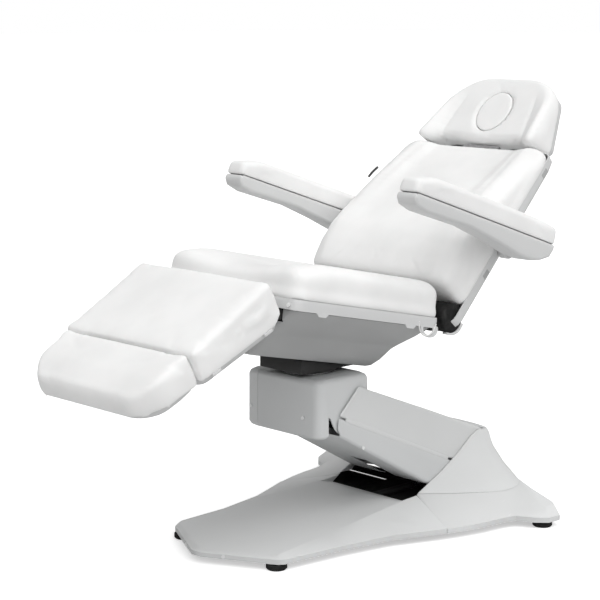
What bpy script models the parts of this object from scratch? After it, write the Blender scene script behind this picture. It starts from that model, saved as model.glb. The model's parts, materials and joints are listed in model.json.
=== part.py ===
"""Powered facial treatment bed: floor base, parallel lift arm, swivelling seat and four-section couch.

Metres, +Z up. The world origin is on the floor under the middle of the bed's bounding box.
Places below are given from a point on the floor CENTRE_X ahead of that origin, near the lift's foot.
-X is the foot end, +X the head end, and every tilting section turns about an axis along Y.
"""
import math

import bmesh
import bpy
from mathutils import Vector

# ---- Driving dimensions -------------------------------------------------------------------------
GAP = 0.0003
WALL = 0.003
CENTRE_X = 0.1067

# Lift: arm pivot on the base, arm length and rest angle above the floor.
PIVOT_X, PIVOT_Z = 0.420, 0.190
ARM_LENGTH, ARM_ANGLE = 0.5943, 22.25
LINK_DROP = 0.070
ARM_HALF = 0.1685
CRANK = 0.138
CRANK_Z = PIVOT_Z - CRANK

# Head box on top of the arm.
BOX_X0, BOX_X1, BOX_Z0, BOX_Z1, BOX_HALF = -0.281, -0.058, 0.327, 0.505, 0.159
SWIVEL_X = -0.170

# Couch sections: position of the joint axis and pitch about +Y in degrees.
SEAT_X, SEAT_Z, SEAT_PITCH = -0.060, 0.570, 12.0
BACK_X, BACK_Z, BACK_PITCH = 0.160, 0.660, -46.5
LEG_X, LEG_Z, LEG_PITCH = -0.530, 0.750, -24.0
ARMREST_PITCH = 18.4
HEAD_PITCH = -62.0
ARMREST_Y = 0.370

FOOT_RADIUS = 0.031
FOOT_SPOTS = (
    ("foot_front_near", -0.491, -0.205),
    ("foot_front_far", -0.491, 0.205),
    ("foot_rear_near", 0.391, -0.470),
    ("foot_rear_far", 0.391, 0.470),
)


# ---- Scene, materials and frames ----------------------------------------------------------------
for old in list(bpy.data.objects):
    bpy.data.objects.remove(old, do_unlink=True)


def material(name, rgb, roughness, metallic=0.0):
    mat = bpy.data.materials.new(name)
    mat.use_nodes = True
    shader = mat.node_tree.nodes["Principled BSDF"]
    shader.inputs["Base Color"].default_value = (*rgb, 1.0)
    shader.inputs["Roughness"].default_value = roughness
    shader.inputs["Metallic"].default_value = metallic
    return mat


COVER = material("cover_grey", (0.66, 0.67, 0.67), 0.45)
COVER_SHADE = material("cover_grey_lower", (0.58, 0.59, 0.59), 0.48)
PAN = material("pan_grey", (0.34, 0.34, 0.33), 0.55)
SHELL = material("shell_light_grey", (0.62, 0.62, 0.61), 0.5)
LEATHER = material("white_leather", (0.90, 0.90, 0.89), 0.42)
BLACK_STEEL = material("black_painted_steel", (0.02, 0.02, 0.02), 0.5, 0.3)
GREY_STEEL = material("grey_painted_steel", (0.16, 0.16, 0.17), 0.45, 0.4)
BRIGHT_STEEL = material("bright_steel", (0.62, 0.62, 0.63), 0.28, 1.0)
RUBBER = material("black_rubber", (0.015, 0.015, 0.015), 0.85)
BLACK_PLASTIC = material("black_plastic", (0.02, 0.02, 0.02), 0.55)
SCREW_WHITE = material("screw_cap_white", (0.80, 0.80, 0.79), 0.35)


def frame(name, x, z, pitch=0.0, y=0.0, parent=None):
    """An empty at a joint; with a parent, x, y, z and pitch are in the parent's frame."""
    spot = bpy.data.objects.new(name, None)
    bpy.context.scene.collection.objects.link(spot)
    spot.location = (x, y, z)
    spot.rotation_euler = (0.0, math.radians(pitch), 0.0)
    spot.parent = parent
    return spot


def into(point, origin, pitch):
    """A world (x, z) seen from a frame at origin with this pitch."""
    turn = math.radians(pitch)
    dx = point[0] - origin[0]
    dz = point[1] - origin[1]
    return (dx * math.cos(turn) - dz * math.sin(turn), dx * math.sin(turn) + dz * math.cos(turn))


# ---- Solids -------------------------------------------------------------------------------------
def solid(bm, name="piece"):
    bmesh.ops.remove_doubles(bm, verts=bm.verts, dist=1e-6)
    bmesh.ops.recalc_face_normals(bm, faces=bm.faces)
    mesh = bpy.data.meshes.new(name)
    bm.to_mesh(mesh)
    bm.free()
    piece = bpy.data.objects.new(name, mesh)
    bpy.context.scene.collection.objects.link(piece)
    return piece


def loft(rings):
    """A closed solid through rings of equal point counts, capped at both ends."""
    bm = bmesh.new()
    rows = [[bm.verts.new(point) for point in ring] for ring in rings]
    count = len(rings[0])
    for lower, upper in zip(rows, rows[1:]):
        for i in range(count):
            j = (i + 1) % count
            bm.faces.new((lower[i], lower[j], upper[j], upper[i]))
    bm.faces.new(list(reversed(rows[0])))
    bm.faces.new(rows[-1])
    return solid(bm)


def prism(outline, low, high, axis="Y"):
    """An outline drawn across an axis and extruded along it."""
    if axis == "Y":
        return loft([[(a, value, b) for a, b in outline] for value in (low, high)])
    if axis == "X":
        return loft([[(value, a, b) for a, b in outline] for value in (low, high)])
    return loft([[(a, b, value) for a, b in outline] for value in (low, high)])


def box(x0, x1, y0, y1, z0, z1):
    return prism(((x0, y0), (x1, y0), (x1, y1), (x0, y1)), z0, z1, "Z")


def circle(cx, cy, radius, sides=24, start=0.0):
    turns = [start + 2 * math.pi * i / sides for i in range(sides)]
    return [(cx + radius * math.cos(t), cy + radius * math.sin(t)) for t in turns]


def arc(cx, cy, radius, first, last, steps):
    turns = [math.radians(first + (last - first) * i / steps) for i in range(steps + 1)]
    return [(cx + radius * math.cos(t), cy + radius * math.sin(t)) for t in turns]


def rod(axis, a, b, radius, low, high, sides=12):
    """A cylinder along an axis; a and b are its place across that axis."""
    return prism(circle(a, b, radius, sides), low, high, axis)


def bore(axis, a, b, radius, low, high, sides=14):
    """A cutter for a round hole, whose flats clear the radius."""
    return rod(axis, a, b, radius / math.cos(math.pi / sides), low, high, sides)


def rounded(points, radius, steps=3):
    """An outline with each corner replaced by a short curve."""
    result = []
    count = len(points)
    for i in range(count):
        here = Vector(points[i])
        before = Vector(points[i - 1])
        after = Vector(points[(i + 1) % count])
        reach = min(radius, (before - here).length * 0.45, (after - here).length * 0.45)
        start = here + (before - here).normalized() * reach
        end = here + (after - here).normalized() * reach
        for k in range(steps + 1):
            t = k / steps
            spot = start * (1 - t) ** 2 + here * 2 * t * (1 - t) + end * t**2
            result.append((spot.x, spot.y))
    return result


def rectangle(x0, x1, half, radius, z, steps=3):
    """A rounded rectangle in plan, at a height."""
    outline = rounded(((x0, -half), (x1, -half), (x1, half), (x0, half)), radius, steps)
    return [(x, y, z) for x, y in outline]


def inset(ring, amount, drop=0.0):
    """A ring moved inwards in plan by an amount, and lowered."""
    count = len(ring)
    area = sum(
        ring[i][0] * ring[(i + 1) % count][1] - ring[(i + 1) % count][0] * ring[i][1] for i in range(count)
    )
    side = 1.0 if area > 0 else -1.0
    result = []
    for i in range(count):
        before = Vector(ring[i - 1][:2])
        here = Vector(ring[i][:2])
        after = Vector(ring[(i + 1) % count][:2])
        first = (here - before).normalized()
        second = (after - here).normalized()
        normal_a = Vector((-first.y, first.x)) * side
        normal_b = Vector((-second.y, second.x)) * side
        middle = (normal_a + normal_b).normalized()
        reach = amount / max(0.5, middle.dot(normal_a))
        spot = here + middle * reach
        result.append((spot.x, spot.y, ring[i][2] - drop))
    return result


def raised(ring, z):
    return [(x, y, z) for x, y, _ in ring]


def opened(ring, ends, reach=0.020):
    """A ring whose end points run on along their own walls; ends pairs each point with its neighbour."""
    result = list(ring)
    for end, neighbour in ends:
        here = Vector(ring[end])
        along = Vector((here.x - ring[neighbour][0], here.y - ring[neighbour][1], 0.0)).normalized()
        result[end] = tuple(here + along * reach)
    return result


def applied(piece):
    graph = bpy.context.evaluated_depsgraph_get()
    mesh = bpy.data.meshes.new_from_object(piece.evaluated_get(graph))
    piece.modifiers.clear()
    piece.data = mesh
    return piece


def combine(piece, others, operation):
    for other in others:
        step = piece.modifiers.new("combine", "BOOLEAN")
        step.operation = operation
        step.solver = "EXACT"
        step.object = other
        applied(piece)
        bpy.data.objects.remove(other, do_unlink=True)
    return piece


def cut(piece, *others):
    return combine(piece, others, "DIFFERENCE")


def join(piece, *others):
    return combine(piece, others, "UNION")


def bevelled(piece, width, segments=2, angle=40.0):
    step = piece.modifiers.new("bevel", "BEVEL")
    step.width = width
    step.segments = segments
    step.limit_method = "ANGLE"
    step.angle_limit = math.radians(angle)
    return applied(piece)


def place(piece, name, mat, parent, smooth=None):
    """Name a piece, give it its material, and hang it on its frame with no offset of its own."""
    piece.name = name
    piece.data.name = name
    piece.data.materials.clear()
    piece.data.materials.append(mat)
    piece.parent = parent
    if smooth:
        piece.data.shade_smooth()
        piece.data.set_sharp_from_angle(angle=math.radians(smooth))
    return piece


# ---- Joint frames -------------------------------------------------------------------------------
bed = frame("bed", CENTRE_X, 0.0)
base = frame("base", 0.0, 0.0, parent=bed)
arm = frame("lift_arm", PIVOT_X, PIVOT_Z, ARM_ANGLE, parent=bed)
HEAD_PIVOT = (
    PIVOT_X - ARM_LENGTH * math.cos(math.radians(ARM_ANGLE)),
    PIVOT_Z + ARM_LENGTH * math.sin(math.radians(ARM_ANGLE)),
)
link = frame("lift_link_pivot", PIVOT_X, PIVOT_Z - LINK_DROP, ARM_ANGLE, parent=bed)
head = frame("lift_head", HEAD_PIVOT[0], HEAD_PIVOT[1], parent=bed)
swivel = frame("swivel", SWIVEL_X, BOX_Z1, parent=bed)
seat = frame("seat", SEAT_X, SEAT_Z, SEAT_PITCH, parent=bed)
back = frame("back", BACK_X, BACK_Z, BACK_PITCH, parent=bed)
leg = frame("leg_rest", LEG_X, LEG_Z, LEG_PITCH, parent=bed)


# ---- Base ---------------------------------------------------------------------------------------
def mirrored(near):
    """A closed plan outline from its near half, given nose or front first and rear last."""
    far = [(x, -y, z) for x, y, z in near]
    return near + list(reversed(far))


def toe_top(x):
    return 0.040 + (x + 0.62) * 0.058


def toe_outline(grow):
    """The toe cover's plan from its pointed nose to the seam; grow is 1 at the lip, 0 at the top."""
    lip = ((-0.620, 0.020), (-0.508, 0.228), (-0.490, 0.240), (-0.284, 0.264), (-0.108, 0.297),
           (0.062, 0.366))
    top = ((-0.606, 0.016), (-0.501, 0.214), (-0.486, 0.225), (-0.284, 0.206), (-0.108, 0.191),
           (0.138, 0.174))
    near = []
    for (ax, ay), (bx, by) in zip(top, lip):
        near.append((ax + (bx - ax) * grow, -(ay + (by - ay) * grow)))
    return near


def toe_rings(shift, drop):
    lip = [(x, y, 0.020) for x, y in toe_outline(1.0)]
    crown = [(x, y, 0.034 + max(0.0, x + 0.62) * 0.004) for x, y in toe_outline(1.0)]
    top = [(x, y, toe_top(x)) for x, y in toe_outline(0.0)]
    rings = [mirrored(lip), mirrored(crown), mirrored(top)]
    if shift:
        rings = [inset(ring, shift, drop) for ring in rings]
        rings[0] = raised(rings[0], 0.0)
        rings = [opened(ring, ((5, 4), (6, 7))) for ring in rings]
    return rings


def recess(half, drop):
    """The ramp down into the slot between the tower's cheeks."""
    return prism(((0.045, 0.0805 - drop), (0.20, 0.046 - drop), (0.20, 0.2), (0.045, 0.2)), -half, half)


toe = cut(loft(toe_rings(0.0, 0.0)), recess(0.170, 0.0))
cavity = cut(loft(toe_rings(WALL, WALL)), recess(0.173, 0.003))
toe = cut(toe, cavity)
place(toe, "toe_cover", COVER, base, 30)

LIP = (
    (0.0655, 0.366), (0.135, 0.388), (0.204, 0.404), (0.275, 0.411), (0.318, 0.424), (0.345, 0.478),
    (0.375, 0.508), (0.425, 0.512), (0.446, 0.485), (0.452, 0.430), (0.478, 0.370), (0.530, 0.250),
    (0.562, 0.120), (0.572, 0.0),
)
TOWER = (
    (0.0895, 0.145, 0.176, 0.360, 0.340, 0.572),
    (0.140, 0.252, 0.1755, 0.402, 0.266, 0.546),
    (0.190, 0.335, 0.1755, 0.425, 0.214, 0.526),
    (0.235, 0.398, 0.1755, 0.445, 0.190, 0.510),
    (0.2465, 0.425, 0.1755, 0.452, 0.182, 0.494),
)


def tower_ring(z, front, front_y, wide_x, wide_y, rear):
    """Near half of the tower's plan at a height, from the cheek's front edge to the rear centre."""
    near = []
    for i in range(5):
        t = i / 4
        spread = 1.3 * t - 0.3 * t * t
        near.append((front + (wide_x - front) * t, -(front_y + (wide_y - front_y) * spread), z))
    for i in range(1, 10):
        turn = math.pi / 2 * i / 9
        x = wide_x + (rear - wide_x) * math.sin(turn) ** 0.8
        y = wide_y * max(0.0, math.cos(turn)) ** 0.8
        near.append((x, -y, z))
    return near


def rear_rings(shift, drop):
    tower = tower_ring(*TOWER[0])
    rings = [[(x, -y, 0.020) for x, y in LIP], [(x, -y, 0.036) for x, y in LIP]]
    for blend, low, bump in ((0.16, 0.044, 0.022), (0.66, 0.068, 0.010), (1.0, 0.0895, 0.0)):
        near = []
        for i, ((lx, ly), (tx, ty, _)) in enumerate(zip(LIP, tower)):
            lift = math.exp(-(((i - 7.0) / 2.6) ** 2)) * bump
            near.append((lx + (tx - lx) * blend, -ly + (ty + ly) * blend, low + lift))
        rings.append(near)
    rings = [mirrored(near) for near in rings]
    rings = [ring[: len(LIP)] + ring[len(LIP) + 1:] for ring in rings]
    if shift:
        rings = [inset(ring, shift, drop) for ring in rings]
        rings[0] = raised(rings[0], 0.0)
        last = len(rings[0]) - 1
        rings = [opened(ring, ((0, 1), (last, last - 1))) for ring in rings]
        rings.append(raised(rings[-1], 0.15))
    return rings


rear = cut(loft(rear_rings(0.0, 0.0)), loft(rear_rings(WALL, WALL)))
rear = cut(rear, box(-0.1, 0.48, -0.1715, 0.1715, 0.0, 0.2))
place(rear, "rear_cover", COVER, base, 30)


def tower_rings(shift, drop):
    rings = []
    for z, front, front_y, wide_x, wide_y, back_x in TOWER:
        near = tower_ring(z + (0.001 if z < 0.1 else 0.0), front, front_y, wide_x, wide_y, back_x)
        ring = mirrored(near)
        rings.append(ring[: len(near)] + ring[len(near) + 1:])
    if shift:
        rings = [inset(ring, shift, drop) for ring in rings]
        rings[0] = raised(rings[0], 0.05)
    return rings


tower = cut(loft(tower_rings(0.0, 0.0)), loft(tower_rings(WALL, WALL)))
tower = cut(tower, box(0.0, 0.4635, -0.1708, 0.1708, 0.0, 0.4))
place(tower, "tower_cover", COVER, base, 30)

# Welded frame: spine plate, cross bars over the feet, and the ears that carry the pivots.
spine = box(-0.500, 0.495, -0.150, 0.150, 0.0265, 0.0335)
parts = [
    box(-0.504, -0.464, -0.2165, 0.2165, 0.0245, 0.0325),
    box(0.367, 0.418, -0.482, 0.482, 0.0245, 0.0395),
]
for side in (-1, 1):
    ear = prism(
        ((0.378, 0.030), (0.458, 0.030), (0.4465, 0.150), *arc(PIVOT_X, PIVOT_Z, 0.034, -25, 205, 8),
         (0.3935, 0.150)),
        side * 0.130, side * 0.118,
    )
    parts.append(ear)
for low, high in ((0.032, 0.041), (0.069, 0.078)):
    low_z = PIVOT_Z - LINK_DROP
    parts.append(prism(((0.396, 0.030), (0.444, 0.030), *arc(PIVOT_X, low_z, 0.0155, 0, 180, 6)), low, high))
# Motor saddle.
parts.append(prism(rounded(((-0.024, 0.030), (0.024, 0.030), (0.024, 0.0405), (-0.024, 0.0405)), 0.003,
                           2), 0.02, 0.05, "X"))
spine = join(spine, *parts)
holes = [
    bore("Y", PIVOT_X, PIVOT_Z, 0.0125 + GAP, -0.2, 0.2, 14),
    bore("Y", PIVOT_X, PIVOT_Z - LINK_DROP, 0.008 + GAP, 0.0, 0.1, 12),
]
for _, fx, fy in FOOT_SPOTS:
    holes.append(bore("Z", fx, fy, 0.006 + GAP, 0.0, 0.06, 10))
spine = cut(spine, *holes)
place(spine, "base_frame", BLACK_STEEL, base)

for name, fx, fy in FOOT_SPOTS:
    top = 0.048 if fx > 0 else 0.0405
    pad = loft([
        [(x, y, 0.0) for x, y in circle(fx, fy, FOOT_RADIUS - 0.004)],
        [(x, y, 0.004) for x, y in circle(fx, fy, FOOT_RADIUS)],
        [(x, y, 0.0145) for x, y in circle(fx, fy, FOOT_RADIUS)],
        [(x, y, 0.017) for x, y in circle(fx, fy, FOOT_RADIUS - 0.003)],
    ])
    place(join(pad, rod("Z", fx, fy, 0.006, 0.010, top, 10)), name, RUBBER, base, 40)

pin = join(rod("Y", PIVOT_X, PIVOT_Z, 0.0125, -0.136, 0.136, 14), rod("Y", PIVOT_X, PIVOT_Z, 0.018,
                                                                      0.1305, 0.138, 14))
place(pin, "main_pivot_pin", BRIGHT_STEEL, base, 40)
low_z = PIVOT_Z - LINK_DROP
pin = join(rod("Y", PIVOT_X, low_z, 0.008, 0.030, 0.082), rod("Y", PIVOT_X, low_z, 0.012, 0.0785, 0.083))
place(pin, "link_pivot_pin", BRIGHT_STEEL, base, 40)

# Lift actuator body: a tube lying in the slot, open at its rear end where the rod comes out.
motor = join(
    rod("X", 0.0, CRANK_Z, 0.0112, 0.055, 0.300, 14),
    prism(rounded(((-0.018, 0.0408), (0.018, 0.0408), (0.018, 0.0645), (-0.018, 0.0645)), 0.004, 2),
          -0.02, 0.072, "X"),
)
motor = cut(motor, bore("X", 0.0, CRANK_Z, 0.0071, 0.062, 0.5, 12))
place(motor, "lift_actuator_body", BLACK_PLASTIC, base, 40)

for name, side in (("toe_screw_near", -1), ("toe_screw_far", 1)):
    start = Vector((-0.620, 0.020 * side))
    end = Vector((-0.508, 0.228 * side))
    spot = start + (end - start) * 0.30
    along = (end - start).normalized()
    out = Vector((-abs(along.y), along.x * side))
    near_face = [spot + out * GAP, spot + out * 0.003]
    rings = []
    for centre in near_face:
        rings.append([
            (centre.x + along.x * u, centre.y + along.y * u, 0.0275 + v) for u, v in circle(0.0, 0.0,
                                                                                            0.0055, 16)
        ])
    place(loft(rings), name, SCREW_WHITE, base, 40)

# ---- Lift arm (drawn in its own frame: -X runs up the arm) ----------------------------------------
L = ARM_LENGTH
beam = join(
    box(-L + 0.02, -0.02, -0.075, 0.075, -0.033, 0.033),
    rod("Y", 0.0, 0.0, 0.034, -0.1165, 0.1165, 16),
    rod("Y", -L, 0.0, 0.034, -0.0785, 0.0785, 16),
)
down = math.radians(ARM_ANGLE)
tip = (CRANK * math.sin(down), -CRANK * math.cos(down))
side_dir = Vector((tip[0], tip[1])).normalized()
across = Vector((-side_dir.y, side_dir.x))
for low, high in ((-0.030, -0.021), (0.021, 0.030)):
    lever = []
    for u, v in ((0.0, 0.024), (CRANK - 0.012, 0.013), (CRANK + 0.0105, 0.008), (CRANK + 0.0105, -0.008),
                 (CRANK - 0.012, -0.013), (0.0, -0.024)):
        lever.append((side_dir.x * u + across.x * v, side_dir.y * u + across.y * v))
    beam = join(beam, prism(lever, low, high))
beam = join(beam, rod("Y", tip[0], tip[1], 0.0065, -0.024, 0.024, 12))
beam = cut(
    beam,
    bore("Y", 0.0, 0.0, 0.0125 + GAP, -0.2, 0.2, 14),
    bore("Y", -L, 0.0, 0.0125 + GAP, -0.2, 0.2, 14),
)
place(beam, "arm_weldment", GREY_STEEL, arm, 40)

ARM_TOP = 0.0655
SEAM_FRONT, SEAM_REAR = -0.0500, -0.0620
HEAD_CUT = -L + 0.0700


def seam(x):
    return SEAM_FRONT + (SEAM_REAR - SEAM_FRONT) * (x + 0.60) / 0.50


upper_outline = (
    (-L - 0.058, seam(-L - 0.058) + 0.0004), (-0.055, seam(-0.055) + 0.0004),
    *arc(0.0, 0.0, ARM_TOP, -23, 90, 8), (-L - 0.010, ARM_TOP - 0.006),
)
upper = bevelled(prism(upper_outline, -ARM_HALF, ARM_HALF), 0.008, 3, 60)
inner_outline = (
    (-L - 0.20, -0.2), (0.2, -0.2), *arc(0.0, 0.0, ARM_TOP - WALL, -22, 90, 8), (-L - 0.20, ARM_TOP - WALL),
)
upper = cut(upper, bevelled(prism(inner_outline, -ARM_HALF + WALL, ARM_HALF - WALL), 0.005, 3, 60))
upper = cut(upper, box(-L - 0.2, HEAD_CUT, -ARM_HALF + WALL - 0.0001, ARM_HALF - WALL + 0.0001, -0.2, 0.2))
upper = cut(upper, prism(((-0.048, -0.2), (0.2, -0.2), (0.2, -0.0395), (-0.048, -0.0395)), -0.1655, 0.1655))
place(upper, "arm_upper_cover", COVER, arm, 35)

lower_outline = [
    (-L - 0.058, seam(-L - 0.058) - 0.0008), (-L - 0.050, -0.086), (-L - 0.028, -0.106), (-0.190, -0.160),
    (-0.150, -0.158), (-0.060, -0.105), (-0.048, seam(-0.055) - 0.0008),
]
lower = bevelled(prism(lower_outline, -ARM_HALF, ARM_HALF), 0.010, 3, 12)
inner_lower = [
    (-L - 0.2, 0.1), (-L - 0.2, -0.0838), (-L - 0.028, -0.1028), (-0.1895, -0.1568), (-0.152, -0.155),
    (-0.1, -0.118),
    (0.1, -0.118), (0.1, 0.1),
]
lower = cut(
    lower,
    bevelled(prism(inner_lower, -ARM_HALF + WALL, ARM_HALF - WALL), 0.007, 3, 12),
    box(-L - 0.2, -L - 0.030, -ARM_HALF + WALL - 0.0001, ARM_HALF - WALL + 0.0001, -0.3, 0.2),
    box(-0.155, 0.1, -ARM_HALF + WALL - 0.0001, ARM_HALF - WALL + 0.0001, -0.3, 0.2),
    box(-0.34, 0.1, -0.036, 0.036, -0.3, 0.0),
)
place(lower, "arm_lower_cover", COVER_SHADE, arm, 35)
screw_x, screw_z = into((-0.100, 0.280), (PIVOT_X, PIVOT_Z), ARM_ANGLE)
place(rod("Y", screw_x, screw_z, 0.0055, -ARM_HALF - 0.0025, -ARM_HALF - GAP, 10), "arm_screw_near",
      SCREW_WHITE, arm, 40)

# Parallel link that keeps the head level; its upper eye has running clearance.
bar = join(
    box(-L, 0.0, 0.048, 0.062, -0.010, 0.010),
    rod("Y", 0.0, 0.0, 0.0155, 0.0455, 0.0645, 14),
    rod("Y", -L, 0.0, 0.0155, 0.0455, 0.0645, 14),
)
bar = cut(bar, bore("Y", 0.0, 0.0, 0.008 + GAP, 0.0, 0.1), bore("Y", -L, 0.0, 0.0086, 0.0, 0.1))
place(bar, "lift_link", GREY_STEEL, link, 40)

# Lift actuator rod: its end plate has an upright slot for the crank's stud.
yoke = prism(rounded(((0.398, 0.0412), (0.442, 0.0412), (0.442, 0.0700), (0.398, 0.0700)), 0.005, 2),
             -0.016, 0.016)
piston = join(rod("X", 0.0, CRANK_Z, 0.0068, 0.110, 0.400), yoke)
slot = rounded(((0.4125, 0.0446), (0.4275, 0.0446), (0.4275, 0.0655), (0.4125, 0.0655)), 0.0040, 2)
place(cut(piston, prism(slot, -0.1, 0.1)), "lift_actuator_rod", BRIGHT_STEEL, base, 40)

# ---- Lift head (world-aligned, frame on the arm's upper pivot) -------------------------------------
HX, HZ = HEAD_PIVOT


def from_head(x, z):
    return (x - HX, z - HZ)


casting = box(-0.235 - HX, -0.085 - HX, -0.108, 0.108, 0.456 - HZ, 0.470 - HZ)
for side in (-1, 1):
    ear = prism(
        (from_head(-0.178, 0.460), from_head(-0.178, 0.36), *arc(0.0, 0.0, 0.036, 200, 340, 6),
         from_head(-0.09, 0.460)),
        side * 0.093, side * 0.0800,
    )
    casting = join(casting, ear)
tongue = prism(
    (from_head(-0.150, 0.42), from_head(-0.150, 0.345), *arc(0.0, -LINK_DROP, 0.0200, 180, 360, 6),
     from_head(-0.110, 0.42)),
    0.0800, 0.093,
)
casting = join(casting, tongue, rod("Y", 0.0, -LINK_DROP, 0.008, 0.0425, 0.090, 12))
casting = cut(casting, bore("Y", 0.0, 0.0, 0.0125 + GAP, -0.2, 0.2, 14), rod("Z", SWIVEL_X - HX, 0.0,
                                                                             0.040, 0.0, 0.2, 20))
place(casting, "head_bracket", BLACK_STEEL, head, 40)
pin = join(rod("Y", 0.0, 0.0, 0.0125, -0.0985, 0.0985, 14), rod("Y", 0.0, 0.0, 0.018, 0.0935, 0.101, 14))
place(pin, "head_pivot_pin", BRIGHT_STEEL, head, 40)

SHELL_SEAM = 0.1065


def head_box(shift):
    """The head's rounded box as stacked plan outlines, drawn in by a shift."""
    rings = []
    for z, pull in ((BOX_Z0, 0.010), (BOX_Z0 + 0.004, 0.004), (BOX_Z0 + 0.012, 0.0), (BOX_Z1 - 0.016, 0.0),
                    (BOX_Z1 - 0.006, 0.004), (BOX_Z1, 0.014)):
        low = (z - BOX_Z0) / (BOX_Z1 - BOX_Z0)
        x0 = BOX_X0 + 0.006 * abs(low - 0.4) + pull + shift
        x1 = BOX_X1 - pull - shift
        height = z + (shift if z < 0.4 else -shift)
        ring = rectangle(x0, x1, BOX_HALF - pull - shift, 0.030 - shift, height, 4)
        rings.append([(x - HX, y, zz - HZ) for x, y, zz in ring])
    return rings


notch = [from_head(-0.236, 0.300), from_head(-0.236, 0.395)]
notch += arc(0.0, 0.0, 0.1010, 196, 300, 12) + [from_head(-0.03, 0.30)]
for name, low, high in (
    ("head_cover_near", -0.3, SHELL_SEAM - 0.0005), ("head_cover_far", SHELL_SEAM + 0.0005, 0.3),
):
    cover = cut(
        loft(head_box(0.0)),
        loft(head_box(WALL)),
        box(-0.240 - HX, 0.3, -BOX_HALF + WALL - 0.0002, BOX_HALF - WALL + 0.0002, 0.25 - HZ, 0.345 - HZ),
        box(-0.10 - HX, 0.3, -BOX_HALF + WALL - 0.0002, BOX_HALF - WALL + 0.0002, 0.25 - HZ, 0.450 - HZ),
        prism(notch, -0.2, 0.2),
        rod("Z", SWIVEL_X - HX, 0.0, 0.0805, 0.0, 0.3, 20),
    )
    keep = box(-0.5, 0.5, low, high, -0.4, 0.4)
    cover = combine(cover, [keep], "INTERSECT")
    place(cover, name, COVER_SHADE if "near" in name else COVER, head, 30)
for name, y, z in (("head_screw_near", -0.095, 0.389), ("head_screw_far", 0.133, 0.389)):
    face = BOX_X0 + 0.0002 - HX
    place(rod("X", y, z - HZ, 0.0055, face - 0.0030, face - GAP, 10), name, SCREW_WHITE, head, 40)
ring = cut(
    rod("Z", SWIVEL_X - HX, 0.0, 0.0785, 0.4703 - HZ, 0.5080 - HZ, 24),
    bore("Z", SWIVEL_X - HX, 0.0, 0.0525, 0.0, 0.3, 20),
)
place(ring, "swivel_bearing_ring", BRIGHT_STEEL, head, 40)

# ---- Swivel (frame at the swivel axis, on the box top) ---------------------------------------------
turn = join(
    rod("Z", 0.0, 0.0, 0.0930, 0.0070, 0.0125, 24),
    rod("Z", 0.0, 0.0, 0.0522, -0.0347, 0.0100, 20),
)
turn = cut(turn, rod("Z", 0.0, 0.0, 0.0350, -0.1, 0.0060, 16))
place(turn, "swivel_turntable", BLACK_STEEL, swivel, 40)
TX, TZ = SEAT_X - SWIVEL_X, SEAT_Z - BOX_Z1
wedge = prism(
    rounded(((-0.112, 0.0128), (0.125, 0.0128), (0.150, 0.0190), (0.150, 0.026), (0.04, 0.0250),
             (-0.112, 0.0560)), 0.004, 2),
    -0.090, 0.090,
)
pockets = [prism(((-0.100, 0.020), (0.02, 0.020), (0.02, 0.1), (-0.100, 0.1)), y - 0.0125,
                 y + 0.0125) for y in
           (-0.066, -0.033, 0.0, 0.033, 0.066)]
wedge = cut(wedge, *pockets)
for side in (-1, 1):
    ear = prism(((TX - 0.032, 0.016), (TX + 0.030, 0.016), *arc(TX, TZ, 0.019, 0, 180, 8)), side * 0.0815,
                side * 0.0705)
    wedge = join(wedge, ear)
wedge = cut(wedge, bore("Y", TX, TZ, 0.010 + GAP, -0.2, 0.2, 14))
place(wedge, "tilt_bracket", BLACK_STEEL, swivel, 40)
pin = join(rod("Y", TX, TZ, 0.010, -0.1005, 0.1005, 14), rod("Y", TX, TZ, 0.015, 0.1000, 0.1035, 14))
place(pin, "tilt_pivot_pin", BRIGHT_STEEL, swivel, 40)

# ---- Seat (frame on the tilt axis; +Z is the seat's upward normal) ---------------------------------
BH = into((BACK_X, BACK_Z), (SEAT_X, SEAT_Z), SEAT_PITCH)
LH = into((LEG_X, LEG_Z), (SEAT_X, SEAT_Z), SEAT_PITCH)


def pan_rings(shift):
    levels = (
        (-0.0505, -0.440, 0.054, 0.108, 0.020), (-0.0460, -0.448, 0.066, 0.120, 0.026),
        (-0.0250, -0.452, 0.078, 0.143, 0.030), (0.0150, -0.4535, 0.090, 0.176, 0.034),
        (0.0300, -0.4540, 0.096, 0.196, 0.034), (0.0650, -0.4550, 0.108, 0.250, 0.034),
        (0.0960, -0.4560, 0.119, 0.286, 0.034),
    )
    rings = []
    for z, x0, x1, half, radius in levels:
        rings.append(rectangle(x0 + shift, x1 - shift, half - shift, radius - shift / 2,
                               z + (shift if z < 0 else 0), 4))
    if shift:
        rings.append([(x, y, 0.2) for x, y, _ in rings[-1]])
    return rings


pan = cut(
    loft(pan_rings(0.0)),
    loft(pan_rings(WALL)),
    box(-0.300, 0.058, -0.1025, 0.1025, -0.2, -0.040),
    box(-0.6, -0.425, -0.230, -0.210, 0.060, 0.2),
    box(-0.6, -0.425, 0.210, 0.230, 0.060, 0.2),
    box(0.060, 0.2, -0.230, -0.210, 0.068, 0.2),
    box(0.060, 0.2, 0.210, 0.230, 0.068, 0.2),
    prism(rounded(((-0.024, 0.004), (0.024, 0.004), (0.024, 0.056), (-0.024, 0.056)), 0.008, 2), -0.6,
          -0.40, "X"),
    prism(rounded(((-0.016, 0.036), (0.016, 0.036), (0.016, 0.084), (-0.016, 0.084)), 0.008, 2), 0.05,
          0.2, "X"),
)
place(pan, "seat_pan", PAN, seat, 30)

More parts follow.
